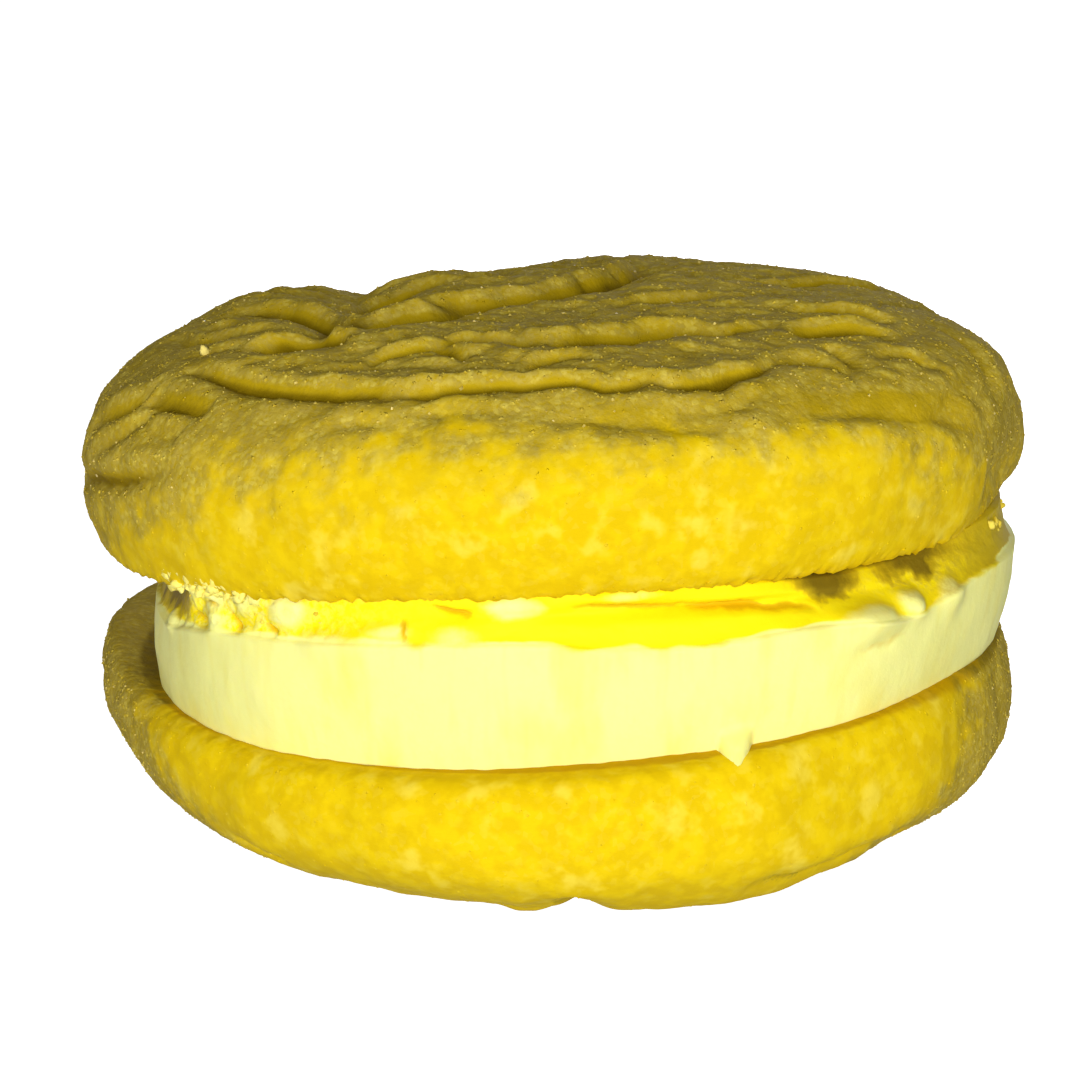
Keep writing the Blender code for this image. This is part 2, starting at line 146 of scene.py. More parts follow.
UPPER_CRACKS = (
    # the long crack round the front shoulder, in three runs
    Crack((-28.6, -16.3), (-10.1, -30.7), -2.2, 1.2, 0.85, -0.2),
    Crack((-12.9, -30.4), (10.2, -30.8), -0.8, 1.4, 0.75, -0.2),
    Crack((8.7, -31.6), (17.7, -25.0), -1.5, 1.2, 0.75, -0.2),
    # two shallow grooves in front of it
    Crack((14.0, -33.6), (37.8, -20.0), -2.8, 0.8, 2.0, 0.3),
    Crack((-2.0, -36.0), (15.0, -34.8), -0.8, 0.6, 1.3, 0.3),
    # folds that run out of the pit at the front left
    Crack((-16.5, -13.0), (-4.7, -4.3), 0.0, 2.1, 1.8, -0.5),
    Crack((-11.5, -5.1), (8.8, 16.8), -6.4, 2.1, 1.8, -0.5),
    Crack((-15.2, -3.9), (-7.2, 8.2), 3.9, 1.9, 1.6, -0.5),
    Crack((-12.4, 5.4), (-3.2, 11.9), -1.2, 1.0, 1.2, -0.5),
    Crack((-27.0, 2.5), (-17.5, -14.0), 3.6, 1.9, 1.6, -0.5),
    Crack((-22.5, -15.0), (-16.0, -15.5), 1.0, 1.7, 1.4, -0.5),
    Crack((-24.7, -14.9), (-19.2, -17.8), 1.3, 0.8, 0.9, -0.4),
    # a broad valley behind the pit, which dips the outline
    Crack((-16.5, -8.0), (-19.0, 38.0), 0.0, 1.8, 3.2, 0.0),
    # folds over the top
    Crack((-0.4, -22.1), (14.8, -16.0), 0.6, 1.9, 1.4, -0.5),
    Crack((10.4, -16.2), (19.8, -15.2), -0.6, 0.7, 0.9, -0.5),
    Crack((-14.6, -23.3), (-5.8, -25.5), 3.1, 1.1, 1.1, -0.4),
    Crack((-10.1, -20.9), (1.1, -21.3), 0.5, 0.8, 0.9, -0.4),
    Crack((-2.2, -29.7), (4.5, -27.0), 2.3, 0.7, 0.7, -0.3),
    Crack((5.4, -9.2), (17.4, -3.9), 0.8, 0.7, 0.9, -0.5),
    Crack((21.1, 3.7), (32.0, 9.8), 0.8, 1.1, 1.2, -0.5),
    Crack((19.9, -9.6), (29.3, -10.9), 0.9, 0.8, 1.0, -0.5),
    Crack((19.6, -17.4), (27.7, -14.2), 1.4, 1.1, 1.1, -0.5),
    Crack((22.8, -20.5), (23.8, -25.0), 0.4, 0.7, 0.7, 0.0),
    Crack((24.8, -21.2), (32.1, -20.4), 1.8, 0.6, 0.8, -0.3),
    Crack((16.2, -26.4), (24.4, -26.1), 2.3, 0.7, 0.8, 0.0),
    # wrinkles of the left side, the first of which nicks the outline
    Crack((-44.1, -8.8), (-30.3, -28.4), -2.0, 1.0, 0.55, 0.2),
    Crack((-31.8, -17.8), (-26.5, -24.7), -0.5, 1.0, 0.9, 0.2),
    Crack((-38.9, -11.2), (-31.8, -17.4), -0.8, 0.8, 0.8, 0.0),
    Crack((-32.0, -0.5), (-23.0, -9.5), -2.3, 0.7, 0.9, -0.4),
    Crack((-30.0, -1.3), (-24.5, -5.0), -0.1, 0.5, 0.7, -0.4),
    # the right rim
    Crack((32, -7), (38.5, -18), 1.0, 0.6, 0.9, 0.0),
    Crack((31.5, 12.5), (35.2, 1.8), 1.6, 0.5, 0.8, -0.3),
)
UPPER_SWELLS = (
    Swell(-2, 47.5, 8.0, 3.6, 1.5),
    Swell(-20, 48.5, 5.0, 1.6, -1.2),
    Swell(6, 37.0, 12.0, 5.0, -0.5),
    Swell(172, 40.0, 16.0, 5.0, -0.45),
    Swell(104, 27.0, 10.0, 8.0, -1.2),
    Swell(145, 26.0, 7.0, 6.0, 0.3),
    Swell(-147.5, 20.0, 2.8, 3.2, -1.5, 0.9),
)
LOWER_CRACKS = (
    Crack((3.0, 24.0), (2.6, 40.2), 0.0, 1.2, 1.5, 0.0),
    Crack((16.0, 37.0), (30.5, 27.5), 0.8, 0.8, 1.1, 0.0),
    Crack((-26.0, 30.5), (-21.0, 34.0), 0.3, 0.8, 0.9, 0.0),
)
LOWER_SWELLS = (
    Swell(100, 35.0, 11.0, 5.0, -0.4),
    Swell(68, 36.0, 7.0, 4.0, 0.4),
    Swell(35, 36.0, 10.0, 5.0, -0.5),
    Swell(180, 43.0, 14.0, 6.0, -0.5),
)
UPPER = Cookie(
    node="top_cookie",
    radius=COOKIE_RADIUS,
    corner=COOKIE_CORNER,
    dome=UPPER_DOME,
    power=2.9,
    inset=2.2 * MM,
    tuck=(-0.9 * MM, 180),
    drop=(2.8 * MM, 180),
    lobes=((2, 0.004, 11), (3, 0.014, 83)),
    droops=((-152, 38, 2.0 * MM), (-38, 24, 0.9 * MM), (-6, 15, 1.2 * MM)),
    wedge=0.0,
    rest=0.0,
    cracks=UPPER_CRACKS,
    swells=UPPER_SWELLS,
    seed=4,
    browned_and_shaded=(37.5, 50.5),
    folds=1.0,
    cream_middle=(2.0 * MM, -0.1 * MM),
    contact_shade_strength=0.15,
    ragged=0.4,
)
LOWER = Cookie(
    node="bottom_cookie",
    radius=COOKIE_RADIUS * 1.027,
    corner=COOKIE_CORNER * 0.75,
    dome=LOWER_DOME,
    power=2.34,
    inset=2.0 * MM,
    tuck=(0.1 * MM, 0),
    drop=(0.0, 0),
    lobes=((2, 0.053, 48), (3, 0.027, -16)),
    droops=((180, 30, 1.4 * MM),),
    wedge=LOWER_SLOPE,
    rest=REST_RADIUS,
    cracks=LOWER_CRACKS,
    swells=LOWER_SWELLS,
    seed=9,
    browned_and_shaded=(28.0, 60.0),
    folds=0.35,
    cream_middle=(2.9 * MM, 0.1 * MM),
    contact_shade_strength=1.0,
    ragged=0.1,
)

# Heights of the layers above the floor, at the middle of the stack
LOWER_TOP = LOWER.top
CREAM_FOOT = LOWER_TOP + GAP
BRIM = CREAM_FOOT + CREAM_WALL
UPPER_BASE = BRIM + SHOULDER_RISE + GAP
UPPER_MIDDLE = (0.9 * MM, 0.0)
CREAM_MIDDLE = (2.9 * MM, -0.1 * MM)

# The cream's wall has soft flats that meet at these directions, in degrees
BENDS = (-163, -138, -126, -105, -67, -53, -22, 14, 47, 88, 121, 152)
FLATNESS = 0.35  # share of the way from a round rim to straight flats
BEND_BLUR = (-4, -2, 0, 2, 4)  # degrees over which the bends are rounded off
CREAM_LOBES = ((2, 0.007, 53), (3, 0.007, -17))
BRIM_FLARE = 1.3 * MM  # how far the brim stands out past the foot
# Where the brim sinks: direction and spread in degrees, and how far
BRIM_DIPS = (
    (-165, 25, 1.8 * MM),
    (-152, 12, 1.1 * MM),
    (-103, 18, -0.7 * MM),
    (-80, 12, 0.6 * MM),
    (-47, 11, 1.3 * MM),
    (4, 24, 1.6 * MM),
)
HOLLOW = (-48, 19)  # direction and spread of the gap under the upper cookie, in degrees
HOLLOW_DEPTH = 2.5 * MM
HOLLOW_HEIGHT = 1.3 * MM
DRIP_DIRECTION = -71.6
DRIP_REACH = 3.4 * MM
DRIP_FALL = 2.0 * MM
DRIP_HALF_WIDTH = 1.35 * MM
DRIP_ROOT = 0.2  # share of the wall's height that runs into the drip
CONTACT = 0.15 * MM  # how far the cream is pressed into the crumb above and below it
LEDGE = 1.4 * MM  # step back from the brim to the foot of the shoulder
BARREL = 0.3 * MM  # how far the wall swells halfway up
# Direction and spread in degrees, and how far the cream is cut back there
CAVE = (-156, 9, 2.0 * MM)
TRIM = (-172, 18, 0.9 * MM)
PINCH = (-76, 22, 0.8 * MM)
PINCH_BAND = (0.6, 0.12)  # middle and spread of the pinch, as shares of the shoulder's rise
UNFLARED = (-170, 28)  # direction and spread in degrees of the brim's upright stretch
# Unevenness of the cream's side where it is smooth and where it is torn, and of its brim
RUBBED = 0.1 * MM
ROUGH = 0.35 * MM
BRIM_SWAY = 0.3 * MM
BRIM_ROUGH = 0.4 * MM
# Direction and spread in degrees of the torn part of the shoulder, of its painted shade in the gaps under
# the upper cookie, and of its crumb smear darkened as painted shade
TORN_LEFT = (-136, 15)
TORN_RIGHT = (-34, 15)
GAP_SHADE = ((-58, 6), (-41, 8))
GAP_SHADE_LEFT = (-168, 21)
SMEAR_SHADE_RIGHT = (-14, 29)
SMEAR_SHADE_LEFT = (-165, 17)


def smooth_step(low, high, value):
    """0 below one value and 1 above the other, and a smooth ramp between them."""
    share = np.clip((value - low) / (high - low), 0, 1)
    return share * share * (3 - 2 * share)


def rim_scale(lobes, angle):
    """How far a rim stands in or out of a true circle at an angle."""
    scale = np.ones_like(angle)
    for waves, share, toward in lobes:
        scale += share * np.cos(waves * (angle - math.radians(toward)))
    return scale


def turned_from(angle, direction):
    """Degrees from a direction to an angle, from -180 to 180."""
    return np.mod(np.degrees(angle) - direction + 180, 360) - 180


def near(angle, direction, spread):
    """1 in a direction and fading to 0 at a spread to either side of it, both in degrees."""
    return np.exp(-((turned_from(angle, direction) / spread) ** 2))


def droop(cookie, angle, radius):
    """How far the rim of a cookie's flat face sags."""
    sag = 0 * angle
    for direction, spread, depth in cookie.droops:
        sag += depth * near(angle, direction, spread)
    return sag * smooth_step(0.8 * cookie.radius, 0.95 * cookie.radius, radius)


def side_profile(cookie):
    """Travel, radius and height down a cookie, from the middle of its dome to its flat face."""
    sweep = np.linspace(math.pi / 2, 0, 400)
    radius = cookie.radius * np.cos(sweep) ** (2 / cookie.power)
    height = cookie.corner + cookie.dome * np.sin(sweep) ** (2 / cookie.power)
    fall = np.linspace(0, math.pi / 2, 100)[1:]
    radius = np.concatenate([radius, cookie.radius - cookie.inset * (1 - np.cos(fall))])
    height = np.concatenate([height, cookie.corner * (1 - np.sin(fall))])
    travel = np.concatenate([[0], np.cumsum(np.hypot(np.diff(radius), np.diff(height)))])
    return travel, radius, height


LEFT_BANK = 0.28  # height of a crack's left bank, as a share of the crack's depth
RIGHT_BANK = 0.1
BANK_OFFSET = 2.4  # widths from a crack's line to its banks
GAPING = 1.1  # depth in millimetres from which a crack shows all its torn crumb
VALLEY = 3.0  # width in millimetres from which a crack is a valley and shows none


def groove(crack, across, along):
    """Height of one crack at points of the laid-flat skin, its torn banks, and the painted shade at its
    bottom.
    """
    start = np.array(crack.start) * MM
    chord = np.array(crack.end) * MM - start
    half = np.hypot(*chord) / 2
    direction = chord / (2 * half)
    middle = start + chord / 2
    run = ((across - middle[0]) * direction[0] + (along - middle[1]) * direction[1]) / half
    side = (along - middle[1]) * direction[0] - (across - middle[0]) * direction[1]
    side -= crack.bow * MM * (1 - run * run)
    width = crack.width * MM * np.where(side > 0, 1 + crack.lean, 1 - crack.lean)
    offset = abs(side) / width
    taper = np.clip(1 - run * run, 0, 1) ** 0.6
    deep = np.exp(-(offset**1.5))
    bank = np.where(side > 0, LEFT_BANK, RIGHT_BANK) * np.exp(-((offset - BANK_OFFSET) ** 2))
    height = taper * crack.depth * MM * (bank - deep)
    open_to = taper * min(crack.depth / GAPING, 1) * min(max(VALLEY - crack.width, 0), 1)
    least = np.where(side > 0, 0.1, 0.55)
    torn = open_to * smooth_step(least, least + 0.3, deep)
    narrow = np.clip(1.5 * crack.depth / crack.width - 0.9, 0, 1)
    # painted shade that darkens the bottom of a narrow crack that gapes open
    crease_shade = narrow * open_to * smooth_step(0.2, 0.95, deep)
    return height, torn, crease_shade


def small_cracks(seed, count=36, reach=40.0, spacing=4.8):
    """Short shallow cracks: from side to side on top of a dome, and round it near the rim."""
    draw = random.Random(seed)
    spots = []
    cracks = []
    while len(spots) < count:
        travel = reach * math.sqrt(draw.random())
        angle = draw.uniform(-math.pi, math.pi)
        spot = Vector((travel * math.cos(angle), travel * math.sin(angle)))
        if any((spot - other).length < spacing for other in spots):
            continue
        spots.append(spot)
        round_rim = math.atan2(spot.x, -spot.y) * min(max(travel / 12 - 1.8, 0), 1)
        heading = draw.gauss(0, 0.2) + round_rim
        half = Vector((math.cos(heading), math.sin(heading))) * draw.uniform(3.0, 7.5)
        bow = draw.uniform(-1.2, 1.2)
        depth = draw.uniform(0.25, 0.55)
        width = draw.uniform(0.6, 0.9)
        cracks.append(Crack(tuple(spot - half), tuple(spot + half), bow, depth, width, -0.3))
    return cracks


def lumps(points, size, seed, octaves=3):
    """Uneven swells of about -1 to 1, of a given size."""
    shift = Vector((seed * 7.1, seed * 3.7, seed * 1.9))
    return np.array([noise.fractal(Vector(point) / size + shift, 1.0, 2.0, octaves) for point in points])


# Unevenness of the crust: how high it stands, and the size of its swells
HEAVE = 0.45 * MM
HEAVE_SIZE = 11 * MM
STRAY = 0.9 * MM  # how far the cracks stray from their lines
STRAY_SIZE = 6 * MM
FOLD_HEIGHT = 0.5 * MM
FOLD_SIZE = 3.4 * MM
WRINKLE_HEIGHT = 0.12 * MM
WRINKLE_SIZE = 1.5 * MM
FOLDED_TO = (31 * MM, 42 * MM)  # travel over which the folds and wrinkles fade out
CRUMB_HEIGHT = 0.22 * MM
CRUMB_SIZE = 2.4 * MM
GRIT_HEIGHT = 0.13 * MM
GRIT_SIZE = 1.1 * MM
BROWN_SHADE_RAGGED = 3.0  # how far the edge of the browning and its painted shade strays, in millimetres
BROWN_SHADE_RAGGED_SIZE = 4.5 * MM
BROWN_SHADE_FADE = (-6.5 * MM, 8.0 * MM)  # where the browning and its painted shade fade, from their edge


def relief(cookie, travel, angle):
    """The crust's relief, and as shares from 0 to 1: its browning with painted shade, its torn crumb, and
    the painted shade of its creases.
    """
    across = travel * np.cos(angle)
    along = travel * np.sin(angle)
    flat = np.stack([across, along, 0 * across], axis=-1)
    height = HEAVE * lumps(flat, HEAVE_SIZE, cookie.seed)
    warp = STRAY * lumps(flat, STRAY_SIZE, cookie.seed + 1, 2)
    torn = 0 * height
    crease_shade = 0 * height
    for crack in (*cookie.cracks, *small_cracks(cookie.seed)):
        cut, bank, bottom = groove(crack, across + warp, along - warp)
        height += cut
        torn = np.maximum(torn, bank)
        crease_shade = np.maximum(crease_shade, bottom)
    for swell in cookie.swells:
        round_rim = np.radians(turned_from(angle, swell.direction)) * cookie.radius / (swell.wide * MM)
        down = (travel - swell.travel * MM) / (swell.tall * MM)
        swelling = np.exp(-(round_rim**2) - down**2)
        height += swell.height * MM * swelling
        crease_shade = np.maximum(crease_shade, swell.dark * swelling)
    ragged = lumps(flat, BROWN_SHADE_RAGGED_SIZE, cookie.seed + 2, 4)
    front, sides = cookie.browned_and_shaded
    # Browning with painted shade reaches further down at the left and right, where the light falls off
    limit = (front + (sides - front) * abs(np.cos(angle)) ** 3 + BROWN_SHADE_RAGGED * ragged) * MM
    browned_and_shaded = smooth_step(limit + BROWN_SHADE_FADE[1], limit + BROWN_SHADE_FADE[0], travel)
    drawn = flat * (0.4, 1.0, 1.0)
    broad = abs(lumps(drawn, FOLD_SIZE, cookie.seed + 3, 2))
    fine = abs(lumps(drawn, WRINKLE_SIZE, cookie.seed + 4, 2))
    at_sides = np.cos(angle) ** 2 * smooth_step(22 * MM, 33 * MM, travel)
    on_top = cookie.folds * smooth_step(*reversed(FOLDED_TO), travel)
    on_top *= (1 - 0.8 * torn) * (1 - 0.85 * at_sides)
    height += on_top * (FOLD_HEIGHT * (broad - 0.25) + WRINKLE_HEIGHT * (fine - 0.25))
    crumb = CRUMB_HEIGHT * lumps(flat, CRUMB_SIZE, cookie.seed + 6, 1)
    crumb += GRIT_HEIGHT * lumps(flat, GRIT_SIZE, cookie.seed + 8, 2)
    height += crumb * (0.35 + 0.65 * browned_and_shaded) * (1 - 0.6 * torn) * (1 - 0.5 * at_sides)
    # painted shade in the valleys between the folds
    crease_shade = np.maximum(crease_shade, on_top * 0.35 * smooth_step(0.12, 0.0, broad))
    return height, {"browned_and_shaded": browned_and_shaded, "torn": torn, "crease_shade": crease_shade}


RIM_WIDTH = 2.5 * MM  # how far up from the flat face the rim's crumbs reach
REST_BLEND = 5 * MM  # from the flat spot out to the full relief


def skin(cookie, travel, angle):
    """Points of a cookie's skin at a travel from the dome's middle, in a direction round it."""
    run, radii, heights = side_profile(cookie)
    radius = np.interp(travel, run, radii)
    height = np.interp(travel, run, heights)
    outward = -np.interp(travel, run, np.gradient(heights, run))
    upward = np.interp(travel, run, np.gradient(radii, run))
    below = np.clip(1 - height / cookie.corner, 0, 1)
    above = np.clip((height - cookie.corner) / cookie.dome, 0, 1)
    depth, toward = cookie.drop
    facing = (0.5 + 0.5 * np.cos(angle - math.radians(toward))) ** 2
    height -= depth * facing * smooth_step(1, 0, above) * smooth_step(1, 0, below)
    extra, toward = cookie.tuck
    facing = np.clip(np.cos(angle - math.radians(toward)), 0, 1)
    radius -= extra * facing * (1 - np.sqrt(1 - below * below))
    out, marks = relief(cookie, travel, angle)
    crumbs = np.stack([travel * np.cos(angle), travel * np.sin(angle), 0 * angle], axis=-1)
    rim = smooth_step(run[-1] - RIM_WIDTH, run[-1], travel)
    out *= 1 - 0.8 * rim
    if cookie.rest:
        out *= smooth_step(cookie.rest, cookie.rest + REST_BLEND, travel)
    radius += out * outward
    height += out * upward + cookie.ragged * MM * rim * lumps(crumbs, 1.0 * MM, cookie.seed + 5, 3)
    if cookie.rest:
        height = np.minimum(height, cookie.top)
    radius *= rim_scale(cookie.lobes, angle)
    height -= droop(cookie, angle, radius) * below
    x = radius * np.cos(angle)
    y = radius * np.sin(angle)
    height -= cookie.wedge * x * below
    return np.stack([x, y, height], axis=-1), marks


def disc_polar(x, y):
    """Square-grid points pushed out to a disc: each square ring of the grid becomes a circle."""
    reach = np.maximum(abs(x), abs(y))
    safe = np.where(reach == 0, 1, reach)
    eighth = math.pi / 4
    angle = np.where(
        abs(x) >= abs(y),
        eighth * y / safe * np.sign(x) + np.where(x < 0, math.pi, 0),
        np.sign(y) * (2 * eighth - eighth * x / safe),
    )
    return reach, angle


def quads(corners):
    """Four-sided faces between the neighbours in a sheet of corner numbers."""
    sides = [corners[:-1, :-1], corners[:-1, 1:], corners[1:, 1:], corners[1:, :-1]]
    return np.stack(sides, axis=-1).reshape(-1, 4).tolist()


def closed(rings):
    """Rings of corner numbers whose first column comes again at the end."""
    return np.concatenate([rings, rings[:, :1]], axis=1)


def mark(mesh, marks):
    """Keeps each share from 0 to 1 as a mesh attribute that a material can read."""
    for name, values in marks.items():
        shares = np.full(len(mesh.vertices), values.ravel()[-1], dtype=np.float32)
        shares[: values.size] = values.ravel()
        mesh.attributes.new(name, "FLOAT", "POINT").data.foreach_set("value", shares)


def cookie_mesh(cookie, grid):
    """The domed skin is a grid pulled into a disc; its edge is then drawn in to the flat face."""
    steps = np.linspace(-1, 1, grid + 1)
    reach, angle = disc_polar(*(side.ravel() for side in np.meshgrid(steps, steps)))
    edge_travel = side_profile(cookie)[0][-1]
    finer = FINER_TOP + (1 - FINER_TOP) * reach**3
    points, marks = skin(cookie, finer * reach * edge_travel, angle)
    index = np.arange(len(points)).reshape(grid + 1, grid + 1)
    border = [index[0, :-1], index[:-1, -1], index[-1, :0:-1], index[:0:-1, 0]]
    rings = [np.concatenate(border)]
    ring = points[rings[0]]
    for share in FLAT_RINGS:
        ring = ring * share
        ring[:, 2] = [flat_height(cookie, x, y) for x, y, _ in ring]
        rings.append(len(points) + np.arange(len(ring)))
        points = np.concatenate([points, ring])
    underside = closed(np.array(rings[::-1]))
    faces = [*quads(index), *quads(underside), rings[-1][::-1].tolist()]
    mesh = bpy.data.meshes.new(cookie.node)
    mesh.from_pydata(points.tolist(), [], faces)
    x, y, z = points.T
    flat = slice(angle.size, None)
    _, flat_marks = relief(cookie, edge_travel + 0 * x[flat], np.arctan2(y[flat], x[flat]))
    marks = {name: np.concatenate([values, flat_marks[name]]) for name, values in marks.items()}
    marks["contact"] = contact(cookie, x, y, z)
    marks["tint"] = 0 * x
    mark(mesh, marks)
    return mesh


CONTACT_SHADE_PAST = (1.1 * MM, 0.3 * MM)  # distances past the cream's foot over which the painted shade sets in
CONTACT_SHADE_ABOVE = (1.3 * MM, 0.5 * MM)  # and heights above the flat face
FACE_CRUMB_HEIGHT = 0.12 * MM
FACE_CRUMB_SIZE = 1.3 * MM


def contact(cookie, x, y, z):
    """The shaded ring of the flat face and its edge, close to the foot or brim of the cream."""
    away = np.hypot(x - cookie.cream_middle[0], y - cookie.cream_middle[1])
    close = smooth_step(*CONTACT_SHADE_PAST, away - CREAM_RADIUS)
    return cookie.contact_shade_strength * close * smooth_step(*CONTACT_SHADE_ABOVE, z + cookie.wedge * x)


def flat_height(cookie, x, y):
    """Height of a cookie's flat face, with a slight roughness of crumb."""
    angle = np.array(math.atan2(y, x))
    radius = math.hypot(x, y)
    crumb = noise.noise(Vector((x, y, cookie.seed * MM)) / FACE_CRUMB_SIZE)
    return -cookie.wedge * x - float(droop(cookie, angle, radius)) + FACE_CRUMB_HEIGHT * crumb


def facets(angle):
    """Radius share of a rim whose stretches between bends are partly flattened."""
    turns = np.radians(np.array([*BENDS, BENDS[0] + 360]))
    angle = np.mod(angle - turns[0], 2 * math.pi) + turns[0]
    after = np.searchsorted(turns, angle, side="right")
    after = np.clip(after, 1, len(turns) - 1)
    half = (turns[after] - turns[after - 1]) / 2
    middle = (turns[after] + turns[after - 1]) / 2
    chord = np.cos(half) / np.cos(angle - middle)
    return 1 - FLATNESS * (1 - chord)


def lower_flat(x, y):
    """Height of the lower cookie's flat face, which this cookie, turned over, holds up."""
    return LOWER_TOP + LOWER_SLOPE * x + droop(LOWER, np.arctan2(-y, x), np.hypot(x, y))


def upper_flat(x, y):
    """Height of the upper cookie's flat face."""
    x = x - UPPER_MIDDLE[0]
    return UPPER_BASE + UPPER_SLOPE * x - droop(UPPER, np.arctan2(y, x), np.hypot(x, y))


@dataclass(frozen=True)
class Bulge:
    """A soft swelling of the cream: direction and spread in degrees, and its middle's station."""

    direction: float
    spread: float
    station: float
    tall: float  # stations
    out: float  # millimetres
    pale: float  # share that its colour is the wall's and not the painted shade of the shoulder
    lift: float = 0.2  # how far it rises, as a share of how far it stands out


# Stations run 0 to 1 up the wall and 1 to 2 up the shoulder
BULGES = (
    Bulge(-97, 3.6, 1.75, 0.26, 0.5, 1.0),
    Bulge(-54.4, 4.6, 1.1, 0.22, 1.3, 0.75),
    Bulge(-46.3, 2.3, 1.3, 0.24, 1.2, 1.0),
    Bulge(-39.2, 2.2, 1.02, 0.24, 0.6, 1.0),
    Bulge(-151.0, 1.7, 1.08, 0.16, 0.7, 1.0),
    Bulge(-143.0, 2.8, 1.95, 0.5, 1.7, 1.0, 0.7),
    Bulge(-137.0, 2.6, 1.75, 0.4, 1.5, 1.0, 0.5),
    Bulge(-131.0, 3.0, 1.95, 0.5, 1.5, 1.0, 0.6),
    Bulge(-125.0, 2.6, 1.6, 0.35, 0.9, 1.0, 0.3),
    Bulge(-136.5, 1.8, 1.2, 0.18, 0.6, 1.0),
    Bulge(-118, 5.0, 1.05, 0.22, 0.4, 0.8),
    Bulge(-112, 3.0, 1.25, 0.2, 0.4, 0.6),
    Bulge(-104, 3.0, 1.2, 0.25, 0.3, 0.5),
    Bulge(-84, 5.0, 1.9, 0.12, 0.5, 0.5),
)


@dataclass(frozen=True)
class Rift:
    """A brown crack in the cream's shoulder, from one (direction, station) to another."""

    start: tuple
    end: tuple
    depth: float  # millimetres
    strength: float


RIFT_WIDTH = 0.28 * MM
RIFTS = (
    Rift((-91, 1.74), (-76, 1.64), 0.5, 0.8),
    Rift((-79, 1.66), (-61, 1.42), 0.6, 1.0),
    Rift((-57, 0.74), (-48.5, 0.84), 0.15, 0.4),
    Rift((-107, 1.86), (-102.5, 1.58), 0.5, 1.0),
    Rift((-110.5, 1.55), (-109.6, 1.05), 0.4, 0.9),
    Rift((-144, 1.35), (-139.5, 1.12), 0.8, 0.9),
    Rift((-134.5, 1.4), (-132.5, 1.05), 0.8, 1.0),
    Rift((-128.5, 1.3), (-126.5, 1.1), 0.6, 0.8),
    Rift((-139, 1.6), (-136, 1.45), 0.6, 0.7),
)


def rift_at(rift, angle, station):
    """How near a point of the cream is to a rift, from 0 to 1."""
    start = np.array(rift.start)
    end = np.array(rift.end)
    scale = np.array([math.radians(1) * CREAM_RADIUS, SHOULDER_RISE])
    chord = (end - start) * scale
    length = np.hypot(*chord)
    along = turned_from(angle, start[0]) * scale[0]
    up = (station - start[1]) * scale[1]
    run = (along * chord[0] + up * chord[1]) / length**2
    side = (up * chord[0] - along * chord[1]) / length
    return np.exp(-((side / RIFT_WIDTH) ** 2)) * np.clip(4 * run * (1 - run), 0, 1) ** 0.4


